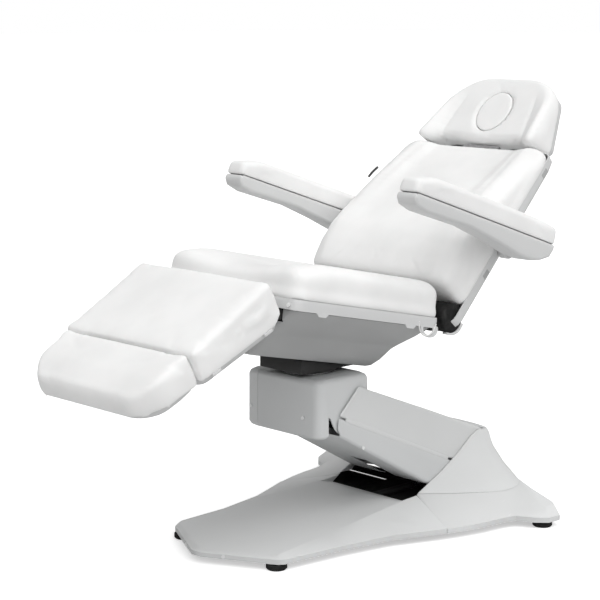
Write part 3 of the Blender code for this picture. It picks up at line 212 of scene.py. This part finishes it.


# The darker tone serves both the mottling and the painted shade in the creases.
WHITE_LEATHER = leather("white_leather_look", (0.925, 0.925, 0.92), (0.80, 0.80, 0.795))
LOOKS = {
    "cover_grey": moulded(
        "cover_grey_look", (0.705, 0.712, 0.710), (0.680, 0.687, 0.685), (0.75, 0.76, 0.76)
    ),
    "cover_grey_lower": moulded(
        "cover_lower_look", (0.640, 0.650, 0.652), (0.610, 0.620, 0.622), (0.71, 0.72, 0.72)
    ),
    "pan_grey": moulded("pan_grey_look", (0.440, 0.445, 0.445), (0.415, 0.420, 0.420), (0.50, 0.50, 0.50)),
    "shell_light_grey": moulded(
        "shell_grey_look", (0.690, 0.695, 0.695), (0.665, 0.670, 0.670), (0.74, 0.74, 0.74)
    ),
    "white_leather": WHITE_LEATHER,
    "black_painted_steel": painted("black_steel_look", (0.006, 0.006, 0.006), (0.05, 0.05, 0.05), 0.0),
    "grey_painted_steel": painted("grey_steel_look", (0.050, 0.050, 0.053), (0.16, 0.16, 0.16), 0.1),
    "bright_steel": turned("bright_steel_look"),
    "black_rubber": rubber("black_rubber_look"),
    "black_plastic": moulded(
        "black_plastic_look", (0.016, 0.016, 0.017), (0.022, 0.022, 0.023), (0.06, 0.06, 0.06)
    ),
    "screw_cap_white": moulded("screw_cap_look", (0.82, 0.82, 0.81), (0.78, 0.78, 0.77), (0.86, 0.86, 0.86)),
}

EDGE = {"cover_grey": 0.0012, "cover_grey_lower": 0.0012, "pan_grey": 0.0012, "shell_light_grey": 0.0007}
FINE_SEAMS = ("arm_upper_cover", "arm_lower_cover")
for name, node in frame["nodes"].items():
    for row in node.material_slots:
        row.material = LOOKS[SLOTS[name]]
    node.data.shade_smooth()
    weld = node.modifiers.new("weld", "WELD")
    weld.merge_threshold = 1e-5
    if SLOTS[name] in EDGE:
        soft = node.modifiers.new("soft edges", "BEVEL")
        soft.width = 0.0004 if name in FINE_SEAMS else EDGE[SLOTS[name]]
        soft.segments = 2
        soft.limit_method = "ANGLE"
        soft.angle_limit = math.radians(42)
        even = node.modifiers.new("even shading", "WEIGHTED_NORMAL")
        even.keep_sharp = True
    else:
        crisp = node.modifiers.new("crisp edges", "EDGE_SPLIT")
        crisp.split_angle = math.radians(40)


# ---- Mesh tools ---------------------------------------------------------------------------------
def rounded_outline(corners, count):
    """A closed plan through (x, y, corner reach) corners, resampled to even steps."""
    dense = []
    total = len(corners)
    for i, (x, y, reach) in enumerate(corners):
        here = Vector((x, y))
        before = Vector(corners[i - 1][:2])
        after = Vector(corners[(i + 1) % total][:2])
        start = here + (before - here).normalized() * min(reach, 0.48 * (before - here).length)
        end = here + (after - here).normalized() * min(reach, 0.48 * (after - here).length)
        for k in range(13):
            t = k / 12
            dense.append(start * (1 - t) ** 2 + here * 2 * t * (1 - t) + end * t**2)
    points = np.array([(p.x, p.y) for p in dense])
    loop = np.vstack([points, points[:1]])
    lengths = np.concatenate([[0.0], np.cumsum(np.linalg.norm(np.diff(loop, axis=0), axis=1))])
    steps = np.linspace(0.0, lengths[-1], count, endpoint=False)
    return np.stack([np.interp(steps, lengths, loop[:, k]) for k in (0, 1)], axis=1)


def outward(plan):
    step = np.roll(plan, -1, axis=0) - np.roll(plan, 1, axis=0)
    normal = np.stack([step[:, 1], -step[:, 0]], axis=1)
    normal /= np.linalg.norm(normal, axis=1, keepdims=True)
    area = np.sum(plan[:, 0] * np.roll(plan[:, 1], -1) - np.roll(plan[:, 0], -1) * plan[:, 1])
    return normal if area > 0 else -normal


def new_object(name, points, faces):
    mesh = bpy.data.meshes.new(name)
    mesh.from_pydata([tuple(p) for p in points], [], faces)
    mesh.validate()
    obj = bpy.data.objects.new(name, mesh)
    bpy.context.scene.collection.objects.link(obj)
    return obj


def loft(name, rings):
    """A closed mesh through rings of equal counts, each end closed by a fan."""
    count = len(rings[0])
    points = np.vstack(list(rings) + [rings[0].mean(axis=0)[None], rings[-1].mean(axis=0)[None]])
    faces = []
    for k in range(len(rings) - 1):
        for i in range(count):
            j = (i + 1) % count
            faces.append((k * count + i, k * count + j, (k + 1) * count + j, (k + 1) * count + i))
    first, last = len(points) - 2, len(points) - 1
    for i in range(count):
        j = (i + 1) % count
        faces.append((first, j, i))
        faces.append((last, (len(rings) - 1) * count + i, (len(rings) - 1) * count + j))
    obj = new_object(name, points, faces)
    bm = bmesh.new()
    bm.from_mesh(obj.data)
    bmesh.ops.recalc_face_normals(bm, faces=bm.faces)
    if bm.calc_volume(signed=True) < 0:
        bmesh.ops.reverse_faces(bm, faces=bm.faces)
    bm.to_mesh(obj.data)
    bm.free()
    return obj


def apply_modifiers(obj):
    graph = bpy.context.evaluated_depsgraph_get()
    mesh = bpy.data.meshes.new_from_object(obj.evaluated_get(graph))
    obj.modifiers.clear()
    obj.data = mesh
    return obj


def coordinates(mesh):
    flat = np.empty(len(mesh.vertices) * 3)
    mesh.vertices.foreach_get("co", flat)
    return flat.reshape(-1, 3)


def set_coordinates(mesh, points):
    mesh.vertices.foreach_set("co", np.ascontiguousarray(points).ravel())
    mesh.update()


def smoothstep(value, low, high):
    t = np.clip((value - low) / (high - low), 0.0, 1.0)
    return t * t * (3.0 - 2.0 * t)


def pad(name, plan, bottom, top, fillet, bulge=0.003, tuck=0.001, lip=0.0):
    """A solid pad: flat underside, bulged wall, rounded shoulder, and a top that follows top(x, y).

    lip is how far the wall hangs below the underside, over the rim of the shell.
    """
    normal = outward(plan)
    centre = plan.mean(axis=0)
    fillet = np.broadcast_to(np.asarray(fillet, float), len(plan))
    edge = plan - normal * fillet[:, None]
    crest = top(edge[:, 0], edge[:, 1])
    rings = []

    def ring(points, heights):
        rings.append(np.column_stack([points, heights]))

    for share in (0.25, 0.6, 0.85):
        flat = centre + (plan - normal * tuck - centre) * share
        ring(flat, bottom(flat[:, 0], flat[:, 1]))
    low = plan - normal * tuck
    base = bottom(low[:, 0], low[:, 1]) - lip
    ring(low, base)
    shoulder = crest - fillet * 0.92
    for k in range(7):
        t = k / 6
        out = bulge * math.sin(math.pi * min(1.0, t * 1.1)) - tuck * (1 - t) ** 3
        ring(plan + normal * out, base + (0.002 + (shoulder - base - 0.002) * t if k else 0.0008))
    for k in range(1, 7):
        a = math.pi / 2 * k / 6
        at = plan - normal * (fillet * (1 - math.cos(a)))[:, None]
        ring(at, shoulder + fillet * 0.92 * math.sin(a))
    for share in np.linspace(0.95, 0.05, 16):
        at = centre + (edge - centre) * share
        ring(at, top(at[:, 0], at[:, 1]))
    return loft(name, rings)


def crisp_end(plan, x, wide, narrow):
    """Shoulder radii round a plan: narrow along the end at x, wide elsewhere."""
    return narrow + (wide - narrow) * smoothstep(np.abs(plan[:, 0] - x), 0.006, 0.050)


def remeshed(obj, voxel, smoothing=10):
    step = obj.modifiers.new("remesh", "REMESH")
    step.mode = "VOXEL"
    step.voxel_size = voxel
    step = obj.modifiers.new("even", "SMOOTH")
    step.factor = 0.5
    step.iterations = smoothing
    return apply_modifiers(obj)


def puffed(obj, cap, floor, pressure=4.0):
    """Swell the pad under inner pressure, holding it down near its floor and within a cap."""
    rest = coordinates(obj.data)
    cloth = obj.modifiers.new("puff", "CLOTH")
    cloth.settings.use_pressure = True
    cloth.settings.uniform_pressure_force = pressure
    cloth.settings.effector_weights.gravity = 0.0
    cloth.settings.quality = 5
    scene = bpy.context.scene
    scene.frame_start = 1
    scene.frame_end = 20
    for number in range(1, 21):
        scene.frame_set(number)
    graph = bpy.context.evaluated_depsgraph_get()
    swollen = coordinates(obj.evaluated_get(graph).data)
    obj.modifiers.clear()
    scene.frame_set(1)
    move = swollen - rest
    length = np.linalg.norm(move, axis=1, keepdims=True)
    move *= cap * np.tanh(length / cap) / np.maximum(length, 1e-9)
    move *= smoothstep(rest[:, 2], floor, floor + 0.030)[:, None]
    set_coordinates(obj.data, rest + move)
    return obj


def distance_to_line(points, line):
    """For plan points: distance to a polyline and how far along it the nearest spot is, 0 to 1."""
    line = np.asarray(line, float)
    best = np.full(len(points), 1e9)
    share = np.zeros(len(points))
    lengths = np.linalg.norm(np.diff(line, axis=0), axis=1)
    total = lengths.sum()
    start = 0.0
    for (a, b), length in zip(zip(line[:-1], line[1:]), lengths):
        along = b - a
        t = np.clip(((points - a) @ along) / (length**2), 0.0, 1.0)
        gap = np.linalg.norm(points - (a + t[:, None] * along), axis=1)
        closer = gap < best
        best[closer] = gap[closer]
        share[closer] = (start + t[closer] * length) / total
        start += length
    return best, share


def creased(obj, line, depth, width, above, fade=(0.0, 0.0), pucker=0.0):
    """Press a sewn crease along a plan polyline into the top of a pad, with puckers beside it."""
    points = coordinates(obj.data)
    gap, share = distance_to_line(points[:, :2], line)
    fade_in, fade_out = max(fade[0], 1e-3), max(fade[1], 1e-3)
    strength = smoothstep(share, 0.0, fade_in) * (1 - smoothstep(share, 1 - fade_out, 1.0))
    strength *= smoothstep(points[:, 2], above, above + 0.010)
    drop = depth * np.exp(-((gap / width) ** 2))
    ripple = pucker * np.exp(-gap / (4 * width)) * np.sin(share * 70.0 + 3.0 * np.sin(share * 23.0))
    points[:, 2] += strength * (ripple * (gap > 0.2 * width) - drop)
    set_coordinates(obj.data, points)
    return obj


def finished(obj, body, placing, nodes, material, levels=1):
    """Put a pad in its section, smooth it, and let it stand for its CAD solids."""
    obj.data.transform(placing)
    obj.data.materials.clear()
    obj.data.materials.append(material)
    obj.data.shade_smooth()
    if levels:
        step = obj.modifiers.new("subdivide", "SUBSURF")
        step.levels = levels
        step.render_levels = levels
    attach(obj, body)
    if nodes:
        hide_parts(*nodes)
    return obj


# ---- Cushions -----------------------------------------------------------------------------------
def level(height):
    return lambda x, y: np.full_like(x, height)


def ridge(y, crest, spread):
    """A soft ridge at plus and minus crest."""
    return np.exp(-(((np.abs(y) - crest) / spread) ** 2))


def both_sides(line):
    return line, [(x, -y) for x, y in line]


# Seat: a shallow dish between raised side rolls.
SEAT_PLAN = rounded_outline(
    ((-0.470, -0.2990, 0.060), (0.135, -0.2990, 0.045), (0.135, 0.2990, 0.045), (-0.470, 0.2990, 0.060)),
    180,
)


def seat_top(x, y):
    dish = 0.018 * np.cos(np.clip(y / 0.235, -1, 1) * math.pi / 2) ** 2
    front = 0.014 * smoothstep(-x, 0.34, 0.47)
    return 0.222 + 0.006 * ridge(y, 0.235, 0.045) - dish * smoothstep(-x, -0.30, 0.15) - front


seat_cushion = pad("seat_upholstery", SEAT_PLAN, level(0.1290), seat_top, 0.038, 0.0005, 0.0, 0.004)
puffed(remeshed(seat_cushion, 0.0075), 0.006, 0.135)
for line in both_sides([(-0.455, -0.205), (-0.20, -0.212), (0.10, -0.205)]):
    creased(seat_cushion, line, 0.0026, 0.007, 0.17, (0.25, 0.2), 0.0008)
finished(seat_cushion, "seat", SEAT, ["seat_cushion"], WHITE_LEATHER)

# Back: deep at the waist, thin at the top, a hollow panel between two side rolls.
BACK_LOW_END = 0.047
BACK_PLAN = rounded_outline(
    (
        (BACK_LOW_END, -0.2995, 0.034), (0.653, -0.2995, 0.055),
        (0.653, 0.2995, 0.055), (BACK_LOW_END, 0.2995, 0.034),
    ),
    190,
)
BACK_X = (0.030, 0.060, 0.090, 0.140, 0.200, 0.270, 0.350, 0.440, 0.540, 0.620, 0.660)
BACK_Z = (0.094, 0.116, 0.128, 0.138, 0.141, 0.132, 0.115, 0.093, 0.065, 0.043, 0.034)


def back_top(x, y):
    spine = np.interp(x, BACK_X, BACK_Z)
    hollow = 0.024 * smoothstep(x, 0.16, 0.56) * (1 - smoothstep(np.abs(y), 0.150, 0.228))
    roll = 0.020 * smoothstep(np.abs(y), 0.232, 0.296)
    return spine - hollow - roll


back_cushion = pad(
    "back_upholstery", BACK_PLAN, level(-0.0005), back_top, crisp_end(BACK_PLAN, BACK_LOW_END, 0.026, 0.036),
    bulge=0.001, tuck=0.0, lip=0.010,
)
puffed(remeshed(back_cushion, 0.0075), 0.005, 0.008)
BACK_SEAM = [(0.650, -0.206), (0.560, -0.214), (0.440, -0.218), (0.330, -0.214), (0.250, -0.200)]
for line in both_sides(BACK_SEAM):
    creased(back_cushion, line, 0.0045, 0.014, 0.010, (0.02, 0.60), 0.0008)
finished(back_cushion, "back", BACK, ["back_cushion"], WHITE_LEATHER)

# Leg rest: a thick pad, highest at the knee, cut square where the foot section meets it.
LEG_CUT, FOOT_CUT = -0.3318, -0.3326
LEG_PLAN = rounded_outline(
    ((LEG_CUT, -0.2845, 0.010), (0.000, -0.2845, 0.022), (0.000, 0.2845, 0.022), (LEG_CUT, 0.2845, 0.010)),
    170,
)


def leg_top(x, y):
    return 0.119 + 0.118 * x - 0.003 * (y / 0.28) ** 2


def leg_bottom(x, y):
    return 0.0063 + 0.030 * smoothstep(x, -0.040, 0.010)


leg_cushion = pad(
    "leg_upholstery", LEG_PLAN, leg_bottom, leg_top, crisp_end(LEG_PLAN, LEG_CUT, 0.018, 0.005),
    bulge=0.002, tuck=0.0, lip=0.014,
)
puffed(remeshed(leg_cushion, 0.0060, 8), 0.004, 0.014)
for line in both_sides([(-0.330, -0.215), (-0.270, -0.150), (-0.200, -0.110)]):
    creased(leg_cushion, line, 0.0016, 0.016, 0.05, (0.05, 0.8))
finished(leg_cushion, "leg_rest", LEG, ["leg_cushion"], WHITE_LEATHER)

# Foot section: the leg rest's line carried on to a nose with cut corners.
FOOT_PLAN = rounded_outline(
    (
        (FOOT_CUT, -0.2700, 0.010), (-0.455, -0.268, 0.040), (-0.523, -0.206, 0.030),
        (-0.523, 0.206, 0.030), (-0.455, 0.268, 0.040), (FOOT_CUT, 0.2700, 0.010),
    ),
    150,
)


def foot_top(x, y):
    fall = 0.016 * smoothstep(-x, 0.43, 0.53)
    return 0.0800 + 0.118 * (x + 0.334) - fall - 0.003 * (y / 0.26) ** 2


foot_cushion = pad(
    "foot_upholstery", FOOT_PLAN, level(0.0063), foot_top, crisp_end(FOOT_PLAN, FOOT_CUT, 0.022, 0.005),
    bulge=0.002, tuck=0.0, lip=0.025,
)
puffed(remeshed(foot_cushion, 0.0060, 8), 0.004, 0.014)
for line in both_sides([(-0.336, -0.235), (-0.390, -0.160), (-0.420, -0.080)]):
    creased(foot_cushion, line, 0.0020, 0.014, 0.04, (0.05, 0.8))
finished(foot_cushion, "foot_section", LEG, ["foot_cushion"], WHITE_LEATHER)

# Headrest: two wings, tall at the neck and fading upwards, either side of a flat panel with the hole.
HEAD_PLAN = rounded_outline(
    (
        (0.012, -0.060, 0.030), (0.020, -0.165, 0.030), (-0.001, -0.205, 0.015), (0.001, -0.246, 0.022),
        (0.200, -0.214, 0.060), (0.264, -0.130, 0.060), (0.264, 0.130, 0.060), (0.200, 0.214, 0.060),
        (0.001, 0.246, 0.022), (-0.001, 0.205, 0.015), (0.020, 0.165, 0.030), (0.012, 0.060, 0.030),
    ),
    190,
)
HOLE_X, HOLE_A, HOLE_B = 0.127, 0.0780, 0.0640


def head_top(x, y):
    panel = 0.0600 - 0.21 * x
    crest_y = 0.231 - 0.138 * np.clip(x, 0.0, 0.22)
    lift = np.clip(0.108 - 0.42 * x - panel, 0.0, 0.08)
    return panel + lift * smoothstep(np.abs(y), crest_y - 0.060, crest_y + 0.004)


def head_bottom(x, y):
    rim = np.maximum(smoothstep(np.abs(y), 0.14, 0.19), smoothstep(x, 0.21, 0.235))
    return -0.0134 - 0.0040 * rim


def hole_ring(share, height, count=72):
    turns = np.linspace(0.0, 2 * math.pi, count, endpoint=False)
    x = HOLE_X + HOLE_A * share * np.cos(turns)
    y = HOLE_B * share * np.sin(turns)
    heights = height(x, y) if callable(height) else np.full(count, height)
    return np.column_stack([x, y, heights])


head_cushion = pad("headrest_upholstery", HEAD_PLAN, head_bottom, head_top, 0.018, 0.002, 0.0, 0.006)
remeshed(head_cushion, 0.0045, 5)
plug_hole = loft("hole", [hole_ring(1.0, -0.1), hole_ring(1.0, 0.2)])
step = head_cushion.modifiers.new("hole", "BOOLEAN")
step.operation = "DIFFERENCE"
step.solver = "EXACT"
step.object = plug_hole
apply_modifiers(head_cushion)
bpy.data.objects.remove(plug_hole)
puffed(remeshed(head_cushion, 0.0045, 3), 0.003, -0.004, 3.0)
for line in both_sides([(0.020, -0.170), (0.120, -0.158), (0.215, -0.140)]):
    creased(head_cushion, line, 0.0026, 0.007, 0.0, (0.05, 0.35), 0.0006)
points = coordinates(head_cushion.data)
radial = np.hypot((points[:, 0] - HOLE_X) / HOLE_A, points[:, 1] / HOLE_B)
inside = (radial < 1.0) & (radial > 0.5)
points[inside, 0] = HOLE_X + (points[inside, 0] - HOLE_X) / radial[inside]
points[inside, 1] /= radial[inside]
set_coordinates(head_cushion.data, points)
finished(head_cushion, "headrest", HEAD, ["headrest_cushion"], WHITE_LEATHER)

# The plug: an underside, a wall just inside the hole, and a crown 1 mm above the panel.
PLUG_LOW = ((0.4, -0.0125), (0.90, -0.0125), (0.965, -0.010), (0.978, 0.015))
PLUG_CROWN = (
    (0.978, 0.006), (0.970, 0.0030), (0.945, 0.0008), (0.90, 0.0), (0.6, 0.0), (0.3, 0.0), (0.08, 0.0),
)
PLUG_PROUD = 0.0010
rings = [hole_ring(share, height) for share, height in PLUG_LOW]
for share, drop in PLUG_CROWN:
    ring = hole_ring(share, head_top)
    ring[:, 2] += PLUG_PROUD - drop
    rings.append(ring)
plug = loft("face_plug_upholstery", rings)
finished(plug, "face_plug", HEAD, ["face_plug"], WHITE_LEATHER)

# Armrest pads: long crowned rolls with rounded ends.
ARM_PLAN = rounded_outline(
    ((-0.561, -0.0405, 0.022), (0.1125, -0.0405, 0.022), (0.1125, 0.0405, 0.022), (-0.561, 0.0405, 0.022)),
    150,
)


def arm_top(x, y):
    ends = 0.019 * smoothstep(-x, 0.47, 0.57) + 0.006 * smoothstep(x, 0.03, 0.12)
    return 0.114 - ends - 0.005 * (y / 0.04) ** 2


for side in ARMREST:
    cushion = pad(
        "armrest_upholstery_" + side, ARM_PLAN, level(0.0549), arm_top, 0.019,
        bulge=0.001, tuck=0.0, lip=0.0014,
    )
    puffed(remeshed(cushion, 0.0050, 6), 0.003, 0.060)
    finished(
        cushion, "armrest_" + side, ARMREST[side], ["armrest_pad_" + side], WHITE_LEATHER
    )

# ---- Small fittings -----------------------------------------------------------------------------
SIDES = (("near", -1), ("far", 1))
TURNS = np.linspace(0.0, 2 * math.pi, 48, endpoint=False)


def fitting(obj, body, placing, slot):
    """A hard piece in the look of its slot, with no subdivision."""
    return finished(obj, body, placing, [], LOOKS[slot], 0)


def block(name, low, high, edge, body, placing, slot):
    """A small moulded block between two corners, with soft edges; its corners may come in any order."""
    spans = [sorted(span) for span in zip(low, high)]
    points = [(x, y, z) for x in spans[0] for y in spans[1] for z in spans[2]]
    faces = [(0, 1, 3, 2), (4, 6, 7, 5), (0, 4, 5, 1), (2, 3, 7, 6), (0, 2, 6, 4), (1, 5, 7, 3)]
    obj = new_object(name, points, faces)
    soft = obj.modifiers.new("soft edges", "BEVEL")
    soft.width = edge
    soft.segments = 3
    return fitting(obj, body, placing, slot)


def tube(name, points, radius, body, placing, slot):
    """A round cord or bar along points."""
    curve = bpy.data.curves.new(name, "CURVE")
    curve.dimensions = "3D"
    curve.bevel_depth = radius
    curve.bevel_resolution = 3
    curve.use_fill_caps = True
    curve.resolution_u = 8
    spline = curve.splines.new("BEZIER")
    spline.bezier_points.add(len(points) - 1)
    for knot, point in zip(spline.bezier_points, points):
        knot.co = point
        knot.handle_left_type = "AUTO"
        knot.handle_right_type = "AUTO"
    wire = bpy.data.objects.new(name + "_path", curve)
    bpy.context.scene.collection.objects.link(wire)
    bpy.context.view_layer.update()
    graph = bpy.context.evaluated_depsgraph_get()
    mesh = bpy.data.meshes.new_from_object(wire.evaluated_get(graph))
    bpy.data.objects.remove(wire)
    obj = bpy.data.objects.new(name, mesh)
    bpy.context.scene.collection.objects.link(obj)
    return fitting(obj, body, placing, slot)


def round_piece(name, profile, sign, centre, body, placing, slot):
    """A piece turned about an axis across the bed at centre (x, z), through (radius, y) steps."""
    rings = []
    for radius, y in profile:
        x, z = centre[0] + radius * np.cos(TURNS), centre[1] + radius * np.sin(TURNS)
        rings.append(np.column_stack([x, np.full(len(TURNS), sign * y), z]))
    return fitting(loft(name, rings), body, placing, slot)


LEVER_PATH = [(0.438, 0.300, 0.079), (0.462, 0.302, 0.074), (0.488, 0.300, 0.068)]
tube("release_lever", LEVER_PATH, 0.0042, "back", BACK, "black_plastic")

# Path along the rim of the hook plate, where a white tube paints the highlight.
HOOK_PATH = [(0.040, 0.112), (0.047, 0.088), (0.078, 0.072), (0.108, 0.088), (0.116, 0.110)]
BACK_CLIPS = ((1, 0.574, 0.606), (2, 0.172, 0.202))
CLIP_EDGE = 0.002
LEG_CLIPS = ((1, -0.292, -0.260), (2, -0.087, -0.055))
for side, sign in SIDES:
    hook = [(x, sign * 0.2985, z) for x, z in HOOK_PATH]
    # Painted highlight: a white tube along the rim of the towel hook plate.
    tube("hook_highlight_tube_" + side, hook, 0.0022, "seat", SEAT, "screw_cap_white")
    for number, x0, x1 in BACK_CLIPS:
        block(
            "back_clip_%s_%d" % (side, number), (x0, sign * 0.2890, -0.032), (x1, sign * 0.2980, -0.014),
            CLIP_EDGE, "back", BACK, "pan_grey",
        )
    for number, x0, x1 in LEG_CLIPS:
        block(
            "leg_clip_%s_%d" % (side, number), (x0, sign * 0.2740, -0.015), (x1, sign * 0.2840, -0.005),
            CLIP_EDGE, "leg_rest", LEG, "shell_light_grey",
        )

# At the ends of the back hinge: a pleated rubber roll, and the shell's tail curling round it.
PLEATS = 9
ROLL_INNER, ROLL_LENGTH = 0.2130, 0.0770
ROLL_PROFILE = [
    (0.0458 if number % 2 else 0.0430, ROLL_INNER + ROLL_LENGTH * number / (2 * PLEATS))
    for number in range(2 * PLEATS + 1)
]
TAIL_SECTION = ((0.0465, 0.2700), (0.0525, 0.2700), (0.0525, 0.2930), (0.0465, 0.2930))
TAIL_TURNS = np.radians(np.linspace(198.0, 287.0, 16))

# The boss on the back shell that carries the armrest pivot.
BOSS_CENTRE = (0.2860, -0.0310)
BOSS_PROFILE = ((0.0235, 0.2998), (0.0235, 0.3255), (0.0228, 0.3272), (0.0212, 0.3280), (0.0100, 0.3280))
for side, sign in SIDES:
    round_piece("hinge_gaiter_" + side, ROLL_PROFILE, sign, (0.0, 0.0), "back", BACK, "black_rubber")
    rings = [
        np.array([(radius * math.cos(turn), sign * y, radius * math.sin(turn)) for radius, y in TAIL_SECTION])
        for turn in TAIL_TURNS
    ]
    fitting(loft("shell_tail_" + side, rings), "back", BACK, "shell_light_grey")
    round_piece("armrest_boss_" + side, BOSS_PROFILE, sign, BOSS_CENTRE, "back", BACK, "shell_light_grey")

# Painted shade: black sheets either side of the base's spine plate, standing in for the shade inside the base
# where the floor would otherwise show bright; laid out from a point on the floor on the foot side of the lift
# pivot.
PIVOT_FROM_BASE = 0.420
BASE = Matrix.Translation((JOINTS["lift"]["pos_m"][0] - PIVOT_FROM_BASE, 0.0, 0.0))
SHADE_SHEET_EDGE = ((-0.1200, 0.1506), (-0.1200, 0.2860), (0.0500, 0.3480), (0.3600, 0.3480), (0.3600, 0.1506))
for side, sign in SIDES:
    rings = [np.array([(x, sign * y, z) for x, y in SHADE_SHEET_EDGE]) for z in (0.0215, 0.0240)]
    # Black sheet standing in for the shade under the base's opening.
    fitting(loft("base_shade_sheet_" + side, rings), "base", BASE, "black_painted_steel")

# Gasket strip in the seam between the arm's upper and lower covers; the seam falls a little to the rear.
SEAM_DROP, SEAM_FALL = -0.0646, 0.024
ARM_SEAM = (
    section("lift", 22.25) @ Matrix.Translation((0.0, 0.0, SEAM_DROP)) @ Matrix.Rotation(SEAM_FALL, 4, "Y")
)
for side, sign in SIDES:
    block(
        "arm_gasket_" + side, (-0.620, sign * 0.1655, -0.0058), (-0.115, sign * 0.1679, 0.0058), 0.0006,
        "lift_arm", ARM_SEAM, "cover_grey",
    )

# ---- Stage --------------------------------------------------------------------------------------
def seen_brighter(finish, share, glow):
    """Let the camera see this surface a little brighter than it lights the object."""
    rays = finish.node("ShaderNodeLightPath").outputs["Is Camera Ray"]
    finish.shader.inputs["Emission Color"].default_value = (1.0, 1.0, 1.0, 1.0)
    finish.link(finish.levels(rays, 0.0, 1.0, 0.0, glow), finish.shader.inputs["Emission Strength"])
    pale = finish.shader.inputs["Base Color"].links[0].from_socket
    finish.colour(finish.blend(finish.levels(rays, 0.0, 1.0, 1.0 - share, 0.0), pale, (0.0, 0.0, 0.0)))


FLOOR = Finish("floor_look", 0.8, Specular_IOR_Level=0.15)
tone = FLOOR.levels(FLOOR.noise(0.8, 3.0), 0.3, 0.7)
FLOOR.colour(FLOOR.blend(tone, (0.90, 0.90, 0.90), (0.88, 0.88, 0.88)))
seen_brighter(FLOOR, 0.70, 0.50)
SPAN = 80.0
floor = new_object(
    "floor", [(-SPAN, -SPAN, 0.0), (SPAN, -SPAN, 0.0), (SPAN, SPAN, 0.0), (-SPAN, SPAN, 0.0)], [(0, 1, 2, 3)]
)
floor.data.materials.append(FLOOR.material)


def soft_sun(name, towards, strength, spread):
    """A distant softbox: even light from one side, with soft shadow edges."""
    light = bpy.data.lights.new(name, "SUN")
    light.energy = strength
    light.angle = math.radians(spread)
    obj = bpy.data.objects.new(name, light)
    bpy.context.scene.collection.objects.link(obj)
    obj.rotation_mode = "QUATERNION"
    obj.rotation_quaternion = Vector(towards).to_track_quat("Z", "Y")
    return obj


soft_sun("key", (-0.30, -0.40, 0.85), 2.14, 80.0)
soft_sun("fill", (0.60, -0.40, 0.70), 0.25, 60.0)

world = bpy.data.worlds.new("studio")
bpy.context.scene.world = world
world.use_nodes = True
sky = world.node_tree
background = sky.nodes["Background"]
background.inputs["Color"].default_value = (1.0, 1.0, 1.0, 1.0)
direction = sky.nodes.new("ShaderNodeTexCoord").outputs["Generated"]
split = sky.nodes.new("ShaderNodeSeparateXYZ")
sky.links.new(direction, split.inputs["Vector"])
shade = sky.nodes.new("ShaderNodeMapRange")
sky.links.new(split.outputs["X"], shade.inputs["Value"])
for key, value in (("From Min", -0.9), ("From Max", 0.5), ("To Min", 0.21), ("To Max", 0.55)):
    shade.inputs[key].default_value = value
rays = sky.nodes.new("ShaderNodeLightPath")
seen = sky.nodes.new("ShaderNodeMix")
sky.links.new(rays.outputs["Is Camera Ray"], seen.inputs["Factor"])
sky.links.new(shade.outputs["Result"], seen.inputs[2])
seen.inputs[3].default_value = 1.0
sky.links.new(seen.outputs[0], background.inputs["Strength"])
bpy.context.scene.view_settings.view_transform = "Standard"

CAMERA_SPOT = Vector((-3.6378, -3.6939, 1.5896))
CAMERA_HEADING, CAMERA_DIP = math.radians(43.8078), math.radians(9.6145)
lens = bpy.data.cameras.new("camera")
lens.sensor_width = 36.0
lens.lens = 103.9
camera = bpy.data.objects.new("camera", lens)
bpy.context.scene.collection.objects.link(camera)
ahead = Vector((
    math.sin(CAMERA_HEADING) * math.cos(CAMERA_DIP),
    math.cos(CAMERA_HEADING) * math.cos(CAMERA_DIP),
    -math.sin(CAMERA_DIP),
))
camera.location = CAMERA_SPOT
camera.rotation_mode = "QUATERNION"
camera.rotation_quaternion = ahead.to_track_quat("-Z", "Y")
bpy.context.scene.camera = camera
